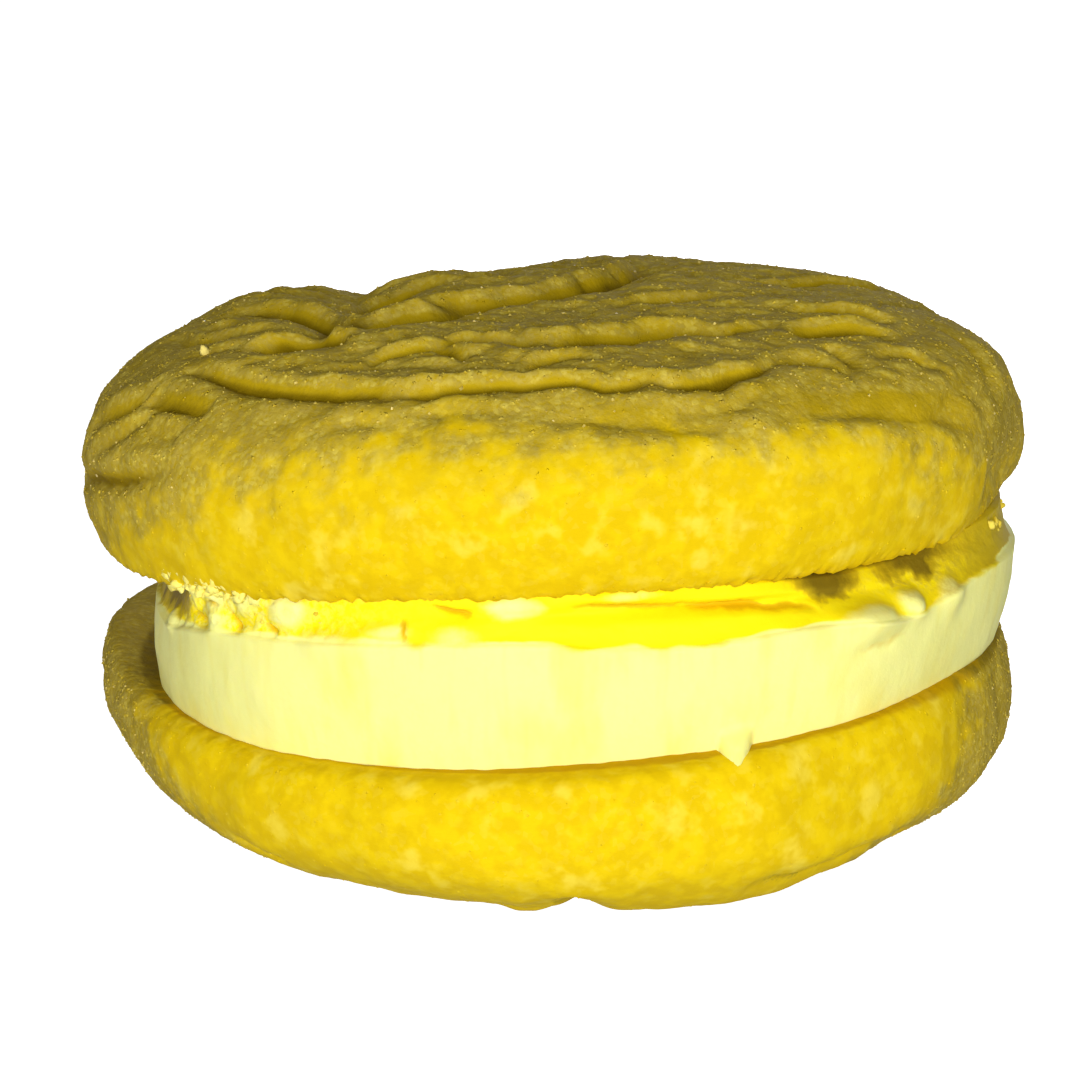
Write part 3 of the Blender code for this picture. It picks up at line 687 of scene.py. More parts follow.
def cream_form(angle, station, dripping=True):
    """Points of the cream's side and its marks. angle and station are arrays of one shape."""
    wall = np.clip(station, 0, 1)
    rise = np.clip(station - 1, 0, 1)
    softened = sum(facets(angle + math.radians(turn)) for turn in BEND_BLUR) / len(BEND_BLUR)
    round_rim = softened * rim_scale(CREAM_LOBES, angle)
    ring = np.stack([np.cos(angle), np.sin(angle), station * 0.2], axis=-1)
    sway = lumps(ring.reshape(-1, 3), 0.35, 2).reshape(angle.shape)
    rub = lumps((ring * (1, 1, 1.3)).reshape(-1, 3), 0.12, 5).reshape(angle.shape)
    rough = lumps((ring * (1, 1, 0.55)).reshape(-1, 3), 0.045, 7).reshape(angle.shape)
    hollow = near(angle, *HOLLOW)
    cave = near(angle, *CAVE[:2])
    flare = BRIM_FLARE * (1 - near(angle, *UNFLARED))
    radius = CREAM_RADIUS + flare * wall + BARREL * np.sin(math.pi * wall)
    radius -= TRIM[2] * near(angle, *TRIM[:2])
    ledge = (LEDGE + (HOLLOW_DEPTH * hollow + CAVE[2] * cave) * rise) * rise**0.35
    band = np.exp(-(((rise - PINCH_BAND[0]) / PINCH_BAND[1]) ** 2))
    radius = (radius - ledge - PINCH[2] * band * near(angle, *PINCH[:2])) * round_rim
    torn = near(angle, *TORN_LEFT) * smooth_step(0.98, 1.15, station)
    torn = np.maximum(torn, 0.3 * near(angle, *TORN_RIGHT) * smooth_step(1.15, 1.4, station))
    radius += RUBBED * rub * (1 - torn) + ROUGH * rough * torn
    # the shoulder's painted shade: deep yellow for the shade under the upper cookie and the light bounced
    # off it
    shoulder = smooth_step(0.96, 1.14, station + 0.12 * rub)
    rifts = 0 * radius
    for rift in RIFTS:
        close = rift_at(rift, angle + 0.012 * rub, station + 0.05 * rough)
        radius -= rift.depth * MM * close
        rifts = np.maximum(rifts, rift.strength * close)
    lift = 0 * radius
    pale = 0 * radius
    for bulge in BULGES:
        aside = turned_from(angle, bulge.direction) / bulge.spread + 0.25 * rub
        up = (station - bulge.station) / bulge.tall + 0.3 * rub
        swelling = np.exp(-((aside**2 + up**2) ** 1.2))
        radius += bulge.out * MM * swelling
        lift += bulge.lift * bulge.out * MM * swelling
        pale = np.maximum(pale, bulge.pale * swelling)
    x = CREAM_MIDDLE[0] + radius * np.cos(angle)
    y = CREAM_MIDDLE[1] + radius * np.sin(angle)
    foot = lower_flat(x, y) - CONTACT
    brim = BRIM + BRIM_SLOPE * x + BRIM_SWAY * sway + BRIM_ROUGH * rough * torn
    for direction, spread, depth in BRIM_DIPS:
        brim -= depth * near(angle, direction, spread)
    contact = upper_flat(x, y) + CONTACT - HOLLOW_HEIGHT * np.maximum(hollow, 0.6 * cave)
    z = foot + (brim - foot) * wall + (contact - brim) * rise + lift
    if dripping:
        aside = np.radians(turned_from(angle, DRIP_DIRECTION)) * CREAM_RADIUS / DRIP_HALF_WIDTH
        run = np.clip(1 - station / DRIP_ROOT, 0, 1)
        breadth = np.clip(1 - aside**2, 0, 1)
        y -= DRIP_REACH * breadth * np.sin(run * math.pi / 2)
        z -= DRIP_FALL * breadth**1.5 * run**1.5
    # painted shade in the gaps under the upper cookie, and over the shoulder at the left end
    dark = np.maximum(*(near(angle, *place) for place in GAP_SHADE))
    dark *= smooth_step(1.3, 1.95, station + 0.3 * rough)
    at_left = np.minimum(1.4 * near(angle, *GAP_SHADE_LEFT), 1)
    dark = np.maximum(dark, at_left * smooth_step(0.95, 1.35, station + 0.2 * rough))
    # crumb smeared into the cream at the ends of the shoulder, darker there as painted shade
    smeared_and_shaded = np.maximum(near(angle, *SMEAR_SHADE_RIGHT), 0.8 * near(angle, *SMEAR_SHADE_LEFT))
    marks = {
        # painted shade of the shoulder, taken off the lumps that stand out into the light
        "shoulder": shoulder * (1 - pale),
        "rift": rifts,
        # painted shade in the gaps, taken off the lumps that stand out
        "gap": dark * (1 - pale),
        "torn": torn,
        # crumb smear with painted shade, on the shoulder only
        "smeared_and_shaded": smeared_and_shaded * shoulder,
    }
    return np.stack([x, y, z], axis=-1), marks


def cream_mesh(columns, wall_rows, shoulder_rows):
    """Rings of points up the cream's side, joined by faces and closed by a cap at each end."""
    stations = [row / wall_rows for row in range(wall_rows + 1)]
    stations += [1 + row / shoulder_rows for row in range(1, shoulder_rows + 1)]
    turn = np.linspace(-math.pi, math.pi, columns, endpoint=False)
    angle, station = np.meshgrid(turn, stations)
    rings, marks = cream_form(angle, station)
    foot, _ = cream_form(turn, 0 * turn, dripping=False)
    middle = np.array([*CREAM_MIDDLE, 0])
    below = [middle * (1 - share) + foot * (share, share, 1) for share in reversed(CAP_RINGS)]
    above = [middle * (1 - share) + rings[-1] * (share, share, 1) for share in CAP_RINGS]
    rings = np.concatenate([below, rings, above])
    blank = np.zeros((len(below), columns))
    marks = {name: np.concatenate([blank, values]) for name, values in marks.items()}
    index = np.arange(rings.shape[0] * columns).reshape(rings.shape[0], columns)
    faces = [*quads(closed(index)), index[0][::-1].tolist(), index[-1].tolist()]
    mesh = bpy.data.meshes.new("cream")
    mesh.from_pydata(rings.reshape(-1, 3).tolist(), [], faces)
    mark(mesh, marks)
    return mesh


def unit(vectors):
    """The same directions as vectors of length 1."""
    return vectors / np.linalg.norm(vectors, axis=-1, keepdims=True)


def on_skin(cookie, travel, angle):
    """Points on a cookie's skin, the way the skin faces there, and its marks."""
    step = 0.4 * MM
    place, marks = skin(cookie, travel, angle)
    down, _ = skin(cookie, travel + step, angle)
    aside, _ = skin(cookie, travel, angle + step / np.maximum(travel, MM))
    return place, unit(np.cross(down - place, aside - place)), marks


def random_ways(draw, count):
    """Unit vectors in every direction."""
    return unit(draw.normal(size=(count, 3)))


def strewn(name, shape, centres, sizes, out, draw, flat=1.0, squash=0.25):
    """A mesh of many uneven copies of a shape, each with its own tint, pressed flat along out."""
    corners, faces = shape
    count = len(centres)
    aside = unit(np.cross(out, random_ways(draw, count)))
    axes = np.stack([aside, np.cross(out, aside), out], axis=1)
    uneven = 1 + draw.uniform(-squash, squash, (count, len(corners), 1))
    stretch = 1 + draw.uniform(-squash, squash, (count, 1, 3))
    stretch[..., 2] *= flat
    points = centres[:, None] + (corners * uneven * stretch * sizes[:, None, None]) @ axes
    starts = np.arange(count) * len(corners)
    every = (np.array(faces)[None] + starts[:, None, None]).reshape(-1, len(faces[0]))
    mesh = bpy.data.meshes.new(name)
    mesh.from_pydata(points.reshape(-1, 3).tolist(), [], every.tolist())
    mark(mesh, {"tint": np.repeat(draw.uniform(0.02, 1, count) ** 2, len(corners))})
    return mesh


def pattern(make, **sizes):
    """Corners and faces of a small shape that one of bmesh's operations makes."""
    shape = bmesh.new()
    make(shape, **sizes)
    corners = np.array([vert.co[:] for vert in shape.verts])
    faces = [[vert.index for vert in face.verts] for face in shape.faces]
    shape.free()
    return corners, faces


class Socket:
    """One output of a material's node. Arithmetic on it adds Math nodes to the material."""

    def __init__(self, finish, node, output):
        self.finish = finish
        self.node = node
        self.output = node.outputs[output]

    def other(self, output):
        """Another output of the same node."""
        return Socket(self.finish, self.node, output)

    def math(self, operation, first, second=0.0):
        return self.finish.node("ShaderNodeMath", {"operation": operation}, {0: first, 1: second})

    def __add__(self, other):
        return self.math("ADD", self, other)

    def __radd__(self, other):
        return self.math("ADD", other, self)

    def __sub__(self, other):
        return self.math("SUBTRACT", self, other)

    def __rsub__(self, other):
        return self.math("SUBTRACT", other, self)

    def __mul__(self, other):
        return self.math("MULTIPLY", self, other)

    def __rmul__(self, other):
        return self.math("MULTIPLY", other, self)

    def over(self, low, high):
        """0 below one value and 1 above the other, with a smooth ramp between them."""
        sockets = {"Value": self, "From Min": low, "From Max": high}
        return self.finish.node("ShaderNodeMapRange", {"interpolation_type": "SMOOTHSTEP"}, sockets)


class Finish:
    """A material that ends in one Principled surface."""

    def __init__(self, name, constants):
        self.material = bpy.data.materials.new(name)
        self.material.use_nodes = True
        self.tree = self.material.node_tree
        self.surface = self.tree.nodes["Principled BSDF"]
        for socket, value in constants.items():
            self.surface.inputs[socket].default_value = value

    def feed(self, socket, value):
        """Links a socket to a node's output, or sets it to a number, a vector or a colour."""
        if isinstance(value, Socket):
            self.tree.links.new(value.output, socket)
        elif socket.type == "RGBA":
            socket.default_value = (*value[:3], 1)
        else:
            socket.default_value = value

    def node(self, kind, settings, sockets, output=0):
        """Adds a node: its type, its settings, and the values or links of its sockets."""
        made = self.tree.nodes.new(kind)
        for name, value in settings.items():
            setattr(made, name, value)
        for key, value in sockets.items():
            self.feed(made.inputs[key], value)
        return Socket(self, made, output)

    def share(self, name):
        """A share that the mesh carries as an attribute."""
        return self.node("ShaderNodeAttribute", {"attribute_name": name}, {}, "Fac")

    def place(self, stretch=(1, 1, 1)):
        """Where a point is on the piece, in millimetres."""
        spot = self.node("ShaderNodeTexCoord", {}, {}, "Object")
        scale = [share / MM for share in stretch]
        return self.node("ShaderNodeVectorMath", {"operation": "MULTIPLY"}, {0: spot, 1: scale})

    def clouds(self, place, size, detail=2.0, rough=0.5):
        """Soft noise from 0 to 1 whose swells are about a size in millimetres."""
        sockets = {"Vector": place, "Scale": 1 / size, "Detail": detail, "Roughness": rough}
        return self.node("ShaderNodeTexNoise", {}, sockets)

    def cells(self, place, size):
        """Distance to the nearest of many strewn points that lie about a size apart."""
        sockets = {"Vector": place, "Scale": 1 / size}
        return self.node("ShaderNodeTexVoronoi", {}, sockets, "Distance")

    def layers(self, colour, *layers):
        """A colour with others laid over it, each by its share."""
        for share, other in layers:
            sockets = {0: share, 6: colour, 7: other}
            colour = self.node("ShaderNodeMix", {"data_type": "RGBA"}, sockets, 2)
        return colour

    def paint(self, colour, roughness, height):
        """Gives the surface its colour, its roughness and a fine relief in millimetres."""
        self.feed(self.surface.inputs["Base Color"], colour)
        self.feed(self.surface.inputs["Roughness"], roughness)
        sockets = {"Height": height, "Distance": MM, "Strength": 1.0}
        self.feed(self.surface.inputs["Normal"], self.node("ShaderNodeBump", {}, sockets))


def crust_finish(look):
    """Sandy cookie: golden crumb at the side and in the cracks, brownish olive on the dome, where
    browning is darkened further as painted shade of the grazing light.
    """
    finish = Finish("baked cookie", {"Specular IOR Level": 0.05})
    place = finish.place()
    patches = finish.clouds(place, 3.0, 3.0)
    mottle = finish.clouds(place, 1.5, 2.0)
    flakes = finish.clouds(place, 1.7, 2.0, 0.4)
    grain = finish.clouds(place, 0.32, 2.0, 0.6)
    sand = finish.cells(place, 0.5)
    tone = finish.node("ShaderNodeSeparateColor", {}, {"Color": sand.other("Color")}, "Red")
    tint = finish.share("tint")
    browned_and_shaded = finish.share("browned_and_shaded")
    patchy = (flakes - 0.5) * 6.5 + (mottle - 0.5) * 3.0
    # share of the dome's browning and painted shade of the grazing light
    brown = (browned_and_shaded + browned_and_shaded * (1.0 - browned_and_shaded) * patchy).over(0.0, 0.85)
    ragged = (mottle - 0.5) * 0.8 + (grain - 0.5) * 0.9
    torn = (finish.share("torn") + ragged).over(0.3, 0.8)
    # painted shade at the bottom of the cracks, pits and folds
    crease_shade = finish.share("crease_shade").over(0.15, 0.8)
    # painted shade where the cookie meets the cream
    contact_shaded = (finish.share("contact") + (mottle - 0.5) * 0.6).over(0.2, 1.0)
    side = finish.layers(
        look.crumb_colour,
        (mottle.over(0.38, 0.62), look.crumb_pale),
        (tone.over(0.6, 1.0) * 0.08 + tint * 0.12, look.fleck_colour),
        (patches.over(0.55, 0.72) * 0.35, look.fleck_colour),
    )
    # the dome's colours hold browning and painted shade of the grazing light
    top = finish.layers(
        look.crust_and_shade_colour,
        (patches.over(0.35, 0.65), look.crust_and_shade_pale),
        (tone.over(0.4, 1.0) * 0.3 + tint * 0.2, look.fleck_colour),
        (sand.over(0.3, 0.6) * 0.35 + grain.over(0.5, 0.36) * 0.45, look.torn_colour),
    )
    colour = finish.layers(
        side,
        (brown, top),
        (torn * 0.9, look.torn_colour),
        (crease_shade * 0.8, look.crease_shade_colour),
        # painted shade where the cookie meets the cream, darker on the dome's crust
        (contact_shaded * 0.8, finish.layers(look.contact_shade_colour, (brown, look.crease_shade_colour))),
    )
    height = (grain * 0.05 - sand * 0.03) * (0.3 + 0.7 * brown) + mottle * 0.04
    finish.paint(colour, 0.95 - grain * 0.2, height)
    return finish.material


def crust_material(look):
    """The one crust that both cookies and their grains share."""
    return bpy.data.materials.get("baked cookie") or crust_finish(look)


def cream_finish(look):
    """Soft cream: pale on the cut wall, and deep yellow on the shoulder above it, as painted shade under
    the upper cookie and painted light bounced off it.
    """
    constants = {
        "Specular IOR Level": 0.08,
        "Subsurface Weight": 0.3,
        "Subsurface Radius": (1.0, 0.85, 0.3),
        "Subsurface Scale": 1.2 * MM,
    }
    finish = Finish("vanilla cream", constants)
    place = finish.place()
    smears = finish.clouds(finish.place((1, 1, 0.45)), 4.0, 3.0)
    fine = finish.clouds(place, 0.6, 3.0, 0.6)
    # painted shade of the shoulder under the upper cookie
    shoulder = (finish.share("shoulder") + (smears - 0.5) * 0.7 + (fine - 0.5) * 0.2).over(0.25, 0.8)
    torn = finish.share("torn")
    streaks = finish.clouds(finish.place((1, 1, 0.12)), 1.4, 2.0)
    yellow = smears.over(0.45, 0.75) * 0.5 + streaks.over(0.5, 0.75) * 0.25
    smeared_and_shaded = finish.share("smeared_and_shaded") + (fine - 0.5) * 0.5
    rift = finish.share("rift") + (fine - 0.5) * 0.3
    gap = finish.share("gap") + (fine - 0.5) * 0.35
    colour = finish.layers(
        look.wall_colour,
        (yellow, look.smear_colour),
        (shoulder, look.shoulder_shade_colour),
        (torn * fine.over(0.4, 0.65) * 0.8, look.paste_colour),
        # crumb smear in the cream with painted shade
        (smeared_and_shaded.over(0.2, 0.8), look.smeared_shade_colour),
        (rift.over(0.15, 0.8), look.rift_colour),
        # painted shade in the gaps: the smeared colour first, then darker
        (gap.over(0.2, 0.5), look.smeared_shade_colour),
        (gap.over(0.4, 0.9), look.gap_colour),
    )
    finish.paint(colour, 0.5 + 0.2 * fine, fine * (0.04 + 0.18 * torn) + smears * 0.1)
    return finish.material


def grain_finish(name, dark, pale, roughness):
    """One tint for each small piece, between two colours."""
    finish = Finish(name, {})
    fine = finish.clouds(finish.place(), 0.3, 2.0)
    colour = finish.layers(dark, (finish.share("tint") * 0.7 + fine * 0.3, pale))
    finish.paint(colour, roughness, fine * 0.1)
    return finish.material


def add(name, mesh, material, node=None, soft=True):
    """Puts a piece in the scene, on the body that carries the whole stack."""
    mesh.materials.append(material)
    if soft:
        mesh.shade_smooth()
    piece = bpy.data.objects.new(name, mesh)
    bpy.context.scene.collection.objects.link(piece)
    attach(piece, "root")
    if node:
        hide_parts(node)
    return piece


def put_upper(piece):
    """Places a piece that was made on the upper cookie's own axes."""
    piece.rotation_euler.y = -math.atan(UPPER_SLOPE)
    piece.location = (*UPPER_MIDDLE, UPPER_BASE)


def put_lower(piece):
    """Places a piece that was made on the lower cookie's own axes, turned over."""
    piece.rotation_euler.x = math.pi
    piece.location.z = LOWER_TOP


BOTH = ((UPPER, put_upper, "upper_crust"), (LOWER, put_lower, "lower_crust"))


def bake(name, cookie, put, slot, look):
    """Makes one cookie in place of its solid, and puts it in the stack."""
    put(add(name, cookie_mesh(cookie, DOME_GRID), crust_material(look), cookie.node))


def colour_property(name, description, default):
    return bpy.props.FloatVectorProperty(
        name=name, description=description, subtype="COLOR", size=3, min=0, max=1, default=default
    )


class CookieLook(bpy.types.PropertyGroup):
    """Colours of the baked crumb and crust."""

    crumb_colour: colour_property("Crumb", "Golden crumb at the side", (0.75, 0.51, 0.001))
    crumb_pale: colour_property("Pale crumb", "Paler mottling of the side", (0.82, 0.58, 0.002))
    fleck_colour: colour_property("Flecks", "Pale flecks of sugar and flour", (0.93, 0.78, 0.12))
    # The dome's colours hold browning and painted shade of the grazing light
    crust_and_shade_colour: colour_property("Crust", "Browned skin of the dome", (0.41, 0.30, 0.036))
    crust_and_shade_pale: colour_property("Pale crust", "Lighter patches of the skin", (0.52, 0.39, 0.06))
    torn_colour: colour_property("Torn crumb", "Walls of the cracks", (0.47, 0.32, 0.002))
    # Painted shade at the bottom of cracks, pits and folds
    crease_shade_colour: colour_property("Crease", "Bottom of a crack or pit", (0.20, 0.13, 0.001))
    crumb_dark: colour_property("Darkest crumbs", "Loose crumbs in shade", (0.66, 0.48, 0.01))
    crumb_light: colour_property("Lightest crumbs", "Loose pale crumbs", (0.92, 0.78, 0.12))
    # Painted shade of the edge that meets the cream
    contact_shade_colour: colour_property("Contact", "Edge that meets the cream", (0.52, 0.29, 0.001))
    sugar_colour: colour_property("Sugar", "Grains of sugar on the skin", (0.82, 0.66, 0.17))


class CreamLook(bpy.types.PropertyGroup):
    """Colours of the cream."""

    wall_colour: colour_property("Wall", "Smooth cut side of the cream", (0.98, 0.95, 0.31))
    smear_colour: colour_property("Smears", "Yellower smears on the wall", (0.93, 0.80, 0.14))
    # Painted shade and light bounced off the cookie, on the cream under it
    shoulder_shade_colour: colour_property("Shoulder", "Cream under the cookie", (1.0, 0.80, 0.003))
    paste_colour: colour_property("Paste", "Pale crumbly paste at the left end", (0.98, 0.92, 0.25))
    # Cream mixed with crumb and darkened as painted shade, also the first step of the painted shade in
    # the gaps
    smeared_shade_colour: colour_property("Smeared", "Cream mixed with crumb", (0.58, 0.42, 0.008))
    rift_colour: colour_property("Rift", "Cracks in the shoulder", (0.72, 0.46, 0.002))
    gap_colour: colour_property("Gap", "Shaded hollows under the cookie", (0.22, 0.15, 0.006))


class StageLook(bpy.types.PropertyGroup):
    """Floor, lights and camera."""

    floor_colour: colour_property("Floor", "Plain pale floor", (0.93, 0.93, 0.93))
    key_power: bpy.props.FloatProperty(
        name="Key light", description="Power of the soft light by the camera", unit="POWER", default=4.0
    )
    sky: bpy.props.FloatProperty(name="Sky", description="Even light from all round", default=0.16)
    lens: bpy.props.FloatProperty(
        name="Lens", description="Focal length of the camera in millimetres", default=77.11
    )


class SugarSettings(bpy.types.PropertyGroup):
    """Grains and sugar on the cookies."""

    grains: bpy.props.IntProperty(name="Grains", description="Crumb grains on each cookie", default=24000)
    crystals: bpy.props.IntProperty(
        name="Crystals", description="Sugar crystals on each cookie", default=700
    )
    largest: bpy.props.FloatProperty(
        name="Largest crystal", description="Edge of the largest crystal", unit="LENGTH", default=0.2 * MM
    )


class COOKIE_OT_upper(bpy.types.Operator):
    """Bake the upper cookie, with its long cracks round the front"""

    bl_idname = "cookie.upper"
    bl_label = "Upper cookie"

    def execute(self, context):
        bake("upper_cookie", *BOTH[0], context.scene.cookie_look)
        return {"FINISHED"}


class COOKIE_OT_lower(bpy.types.Operator):
    """Bake the lower cookie, which lies on its dome"""

    bl_idname = "cookie.lower"
    bl_label = "Lower cookie"

    def execute(self, context):
        bake("lower_cookie", *BOTH[1], context.scene.cookie_look)
        return {"FINISHED"}


class COOKIE_OT_cream(bpy.types.Operator):
    """Spread the cream, with its drip, soft lumps and rifts"""

    bl_idname = "cookie.cream"
    bl_label = "Cream"

    def execute(self, context):
        mesh = cream_mesh(CREAM_COLUMNS, WALL_ROWS, SHOULDER_ROWS)
        add("cream", mesh, cream_finish(context.scene.cream_look), "cream_filling")
        return {"FINISHED"}


def scattered(cookie, count, draw):
    """Places strewn evenly over a cookie's skin, the way it faces there, and its marks."""
    reach = side_profile(cookie)[0][-1] - MM
    least = cookie.rest + 2 * MM if cookie.rest else 0
    travel = np.sqrt(draw.uniform(least**2, reach**2, count))
    return on_skin(cookie, travel, draw.uniform(-math.pi, math.pi, count))


GRAIN_LEAST = 0.18 * MM
GRAIN_RANGE = 0.3 * MM  # how much larger the largest is
GRAIN_SUNK = 0.1  # share of its size that a grain's middle lies below the skin
SUGARED = 0.6  # share of the crust's browning and painted shade from which it carries sugar


class COOKIE_OT_grains(bpy.types.Operator):
    """Cover both cookies with half-sunk grains of crumb"""

    bl_idname = "cookie.grains"
    bl_label = "Sandy grains"

    def execute(self, context):
        settings = context.scene.cookie_sugar
        material = crust_material(context.scene.cookie_look)
        lump = pattern(bmesh.ops.create_uvsphere, u_segments=4, v_segments=2, radius=0.5)
        for cookie, put, slot in BOTH:
            draw = np.random.default_rng(cookie.seed + 40)
            place, out, marks = scattered(cookie, settings.grains, draw)
            kept = draw.random(settings.grains) > 0.75 - 0.5 * marks["browned_and_shaded"] + 0.6 * marks["torn"]
            place = place[kept]
            out = out[kept]
            corners = len(lump[0])
            marks = {name: np.repeat(shares[kept], corners) for name, shares in marks.items()}
            size = GRAIN_LEAST + GRAIN_RANGE * draw.random(len(place)) ** 2
            flat = 0.35 + 0.3 * marks["browned_and_shaded"][::corners]
            place -= GRAIN_SUNK * size[:, None] * out
            mesh = strewn("grains", lump, place, size, out, draw, flat[:, None])
            mark(mesh, marks)
            put(add(f"{cookie.node}_grains", mesh, material))
        return {"FINISHED"}


class COOKIE_OT_sugar(bpy.types.Operator):
    """Strew sugar crystals over the crust of both cookies where its browning and painted shade are
    strongest
    """

    bl_idname = "cookie.sugar"
    bl_label = "Sugar"

    def execute(self, context):
        settings = context.scene.cookie_sugar
        look = context.scene.cookie_look
        material = grain_finish("sugar", look.crust_and_shade_pale, look.sugar_colour, 0.35)
        cube = pattern(bmesh.ops.create_cube, size=1)
        for cookie, put, slot in BOTH:
            draw = np.random.default_rng(cookie.seed)
            place, _, marks = scattered(cookie, settings.crystals, draw)
            kept = marks["browned_and_shaded"] > SUGARED
            place = place[kept]
            size = settings.largest * draw.uniform(0.4, 1.0, len(place)) ** 1.5
            mesh = strewn("sugar", cube, place, size, random_ways(draw, len(place)), draw)
            put(add(f"{cookie.node}_sugar", mesh, material, soft=False))
        return {"FINISHED"}


@dataclass(frozen=True)
class Litter:
    """Loose crumbs on the cream: their directions in degrees, stations, sizes and number."""

    directions: tuple
    stations: tuple
    sizes: tuple  # millimetres
    count: int


LITTER = (
    Litter((-146, -120), (1.3, 1.95), (0.2, 0.45), 12),
    Litter((-24, -8), (1.5, 1.9), (0.3, 0.8), 8),
)
EDGE_PASTE = 110  # dabs of cream on the upper cookie's lower edge at the left
PASTE_HEIGHT = 1.8 * MM  # how far up from the edge they reach
PASTE_PLACE = (-134, 4.5)  # middle and spread of their directions, in degrees
PASTE_ENDS = (-141, -124)
PASTE_LEAST = 0.5 * MM
PASTE_RANGE = 1.1 * MM
PASTE_SUNK = 0.3
TOP_CRUMB = (30.3 * MM, -155.2)  # travel and direction in degrees of the one crumb on top
TOP_CRUMB_SIZE = 0.85 * MM
TOP_CRUMB_RAISED = 0.2 * MM


class COOKIE_OT_crumbs(bpy.types.Operator):
    """Scatter crumbs where the cookies were pressed on the cream"""

    bl_idname = "cookie.crumbs"
    bl_label = "Crumbs"

    def execute(self, context):
        look = context.scene.cookie_look
        material = grain_finish("crumbs", look.crumb_dark, look.crumb_light, 0.9)
        ball = pattern(bmesh.ops.create_icosphere, subdivisions=2, radius=0.5)
        draw = np.random.default_rng(21)
        centres = []
        sizes = []
        for litter in LITTER:
            angle = np.radians(draw.uniform(*litter.directions, litter.count))
            station = draw.uniform(*litter.stations, litter.count)
            place, _ = cream_form(angle, station)
            centres.append(place)
            sizes.append(draw.uniform(*litter.sizes, litter.count) * MM)
        centres = np.concatenate(centres)
        ways = random_ways(draw, len(centres))
        mesh = strewn("crumbs", ball, centres, np.concatenate(sizes), ways, draw, 0.7, 0.3)
        add("crumbs", mesh, material)
        edge = side_profile(UPPER)[0][-1]
        travel = edge - PASTE_HEIGHT * draw.random(EDGE_PASTE) ** 2
        direction = np.clip(draw.normal(*PASTE_PLACE, EDGE_PASTE), *PASTE_ENDS)
        place, out, _ = on_skin(UPPER, travel, np.radians(direction))
        size = PASTE_LEAST + PASTE_RANGE * draw.random(EDGE_PASTE) ** 2
        place -= PASTE_SUNK * size[:, None] * out
        mesh = strewn("edge paste", ball, place, size, out, draw, 0.6, 0.25)
        pale = context.scene.cream_look.paste_colour
        paste = grain_finish("edge paste", look.fleck_colour, pale, 0.7)
        put_upper(add("edge_paste", mesh, paste))
        travel, direction = TOP_CRUMB
        place, out, _ = on_skin(UPPER, np.array([travel]), np.radians([direction]))
        sugar = grain_finish("top crumb", look.fleck_colour, look.sugar_colour, 0.8)
        place += TOP_CRUMB_RAISED * out
        lump = strewn("top crumb", ball, place, np.array([TOP_CRUMB_SIZE]), out, draw, 1.0, 0.35)
        put_upper(add("top_crumb", lump, sugar))
        return {"FINISHED"}


class COOKIE_OT_stage(bpy.types.Operator):
    """Set the plain pale floor, the soft lights and the camera"""

    bl_idname = "cookie.stage"
    bl_label = "Floor, lights and camera"

    def execute(self, context):
        look = context.scene.cookie_stage
        set_floor(look)
        set_lights(context.scene, look)
        set_camera(context.scene, look)
        context.scene.view_settings.view_transform = "Standard"
        return {"FINISHED"}


FLOOR_RADIUS = 4.0
FLOOR_DROP = 0.05 * MM
CAMERA_DISTANCE = 0.200  # in front of the stack's middle
CAMERA_HEIGHT = 0.0786
CAMERA_PITCH = 0.265  # radians below level
LIGHT_TARGET = (0, 0, 22 * MM)
KEY_PLACE = (0.0, -0.56, 0.09)
KEY_SIZE = 0.30
FILL_PLACE = (0.1, 0.6, 0.12)
FILL_SIZE = 0.4
FILL_SHARE = 0.4  # of the key light's power


def set_floor(look):
    shape = bmesh.new()
    bmesh.ops.create_circle(shape, cap_ends=True, segments=64, radius=FLOOR_RADIUS)
    mesh = bpy.data.meshes.new("floor")
    shape.to_mesh(mesh)
    shape.free()
    colour = (*look.floor_colour, 1)
    constants = {"Base Color": colour, "Emission Color": colour, "Emission Strength": 1.0}
    mesh.materials.append(Finish("floor", constants).material)
    floor = bpy.data.objects.new("floor", mesh)
    floor.location.z = -FLOOR_DROP
    floor.visible_diffuse = False
    bpy.context.scene.collection.objects.link(floor)


def area_light(name, place, size, power):
    light = bpy.data.lights.new(name, "AREA")
    light.shape = "DISK"
    light.size = size
    light.energy = power
    lamp = bpy.data.objects.new(name, light)
    lamp.location = place
    aim = Vector(LIGHT_TARGET) - Vector(place)
    lamp.rotation_euler = aim.to_track_quat("-Z", "Y").to_euler()
    bpy.context.scene.collection.objects.link(lamp)


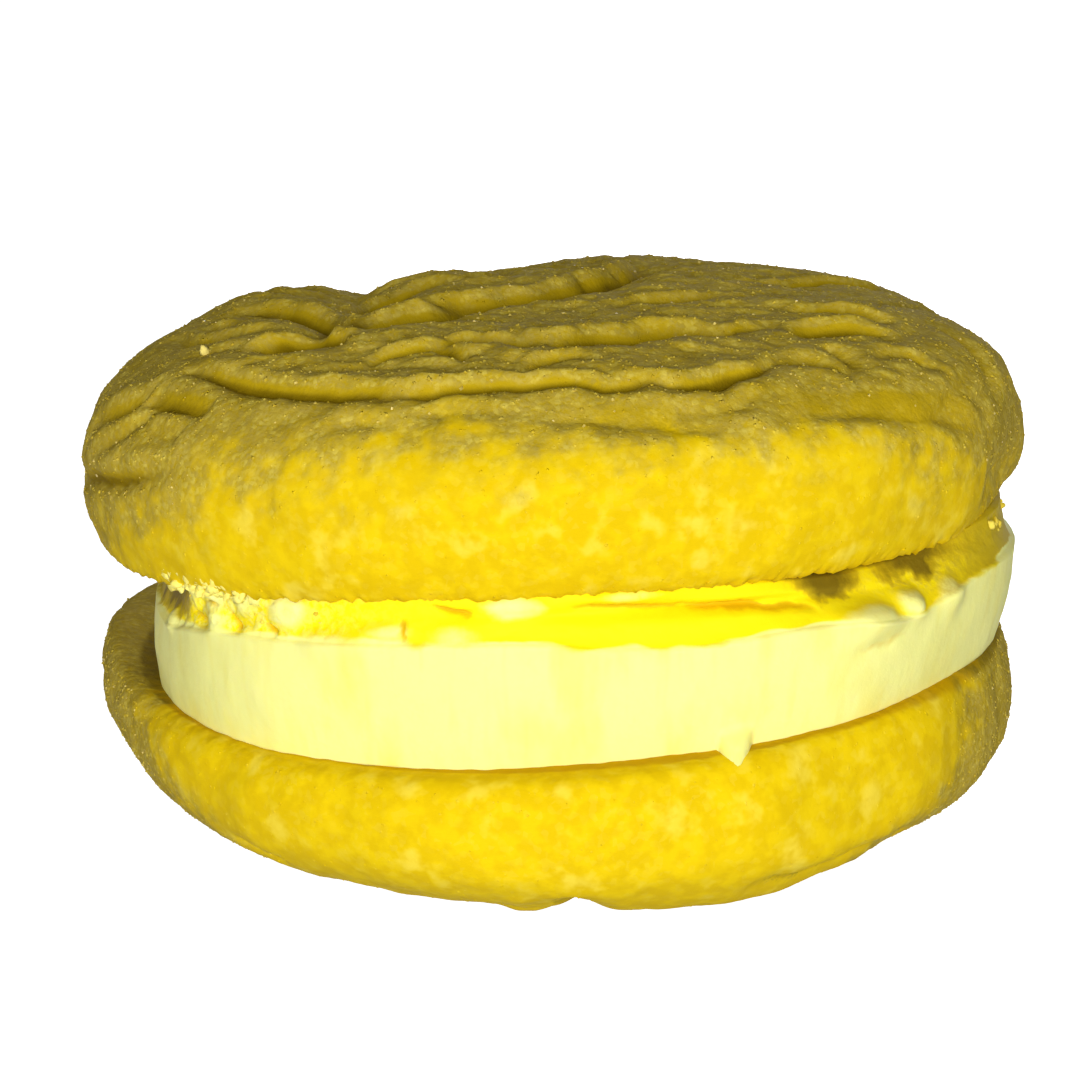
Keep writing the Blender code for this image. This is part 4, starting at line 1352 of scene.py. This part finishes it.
def set_lights(scene, look):
    area_light("key", KEY_PLACE, KEY_SIZE, look.key_power)
    area_light("back_fill", FILL_PLACE, FILL_SIZE, look.key_power * FILL_SHARE)
    scene.world = bpy.data.worlds.new("even light")
    scene.world.use_nodes = True
    sky = scene.world.node_tree.nodes["Background"]
    sky.inputs["Color"].default_value = (1, 1, 1, 1)
    sky.inputs["Strength"].default_value = look.sky


def set_camera(scene, look):
    camera = bpy.data.cameras.new("camera")
    camera.lens = look.lens
    camera.clip_start = MM
    eye = bpy.data.objects.new("camera", camera)
    eye.location = (0, -CAMERA_DISTANCE, CAMERA_HEIGHT)
    eye.rotation_euler = (math.pi / 2 - CAMERA_PITCH, 0, 0)
    scene.collection.objects.link(eye)
    scene.camera = eye


class COOKIE_PT_kitchen(bpy.types.Panel):
    """Lists what the cookie is made of, and its colours and sizes."""

    bl_label = "Sandwich cookie"
    bl_idname = "COOKIE_PT_kitchen"
    bl_space_type = "VIEW_3D"
    bl_region_type = "UI"
    bl_category = "Cookie"

    def draw(self, context):
        layout = self.layout
        for maker in MAKERS:
            layout.operator(maker.bl_idname)
        for name in LOOKS:
            group = getattr(context.scene, name)
            box = layout.box()
            for key in group.__annotations__:
                box.prop(group, key)


MAKERS = (
    COOKIE_OT_lower,
    COOKIE_OT_cream,
    COOKIE_OT_upper,
    COOKIE_OT_grains,
    COOKIE_OT_sugar,
    COOKIE_OT_crumbs,
    COOKIE_OT_stage,
)
LOOKS = {
    "cookie_look": CookieLook,
    "cream_look": CreamLook,
    "cookie_sugar": SugarSettings,
    "cookie_stage": StageLook,
}


def register():
    for name, group in LOOKS.items():
        bpy.utils.register_class(group)
        setattr(bpy.types.Scene, name, bpy.props.PointerProperty(type=group))
    for maker in MAKERS:
        bpy.utils.register_class(maker)
    bpy.utils.register_class(COOKIE_PT_kitchen)


def unregister():
    bpy.utils.unregister_class(COOKIE_PT_kitchen)
    for maker in reversed(MAKERS):
        bpy.utils.unregister_class(maker)
    for name, group in LOOKS.items():
        delattr(bpy.types.Scene, name)
        bpy.utils.unregister_class(group)


def main():
    register()
    bpy.ops.cookie.lower()
    bpy.ops.cookie.cream()
    bpy.ops.cookie.upper()
    bpy.ops.cookie.grains()
    bpy.ops.cookie.sugar()
    bpy.ops.cookie.crumbs()
    bpy.ops.cookie.stage()


if __name__ == "__main__":
    main()
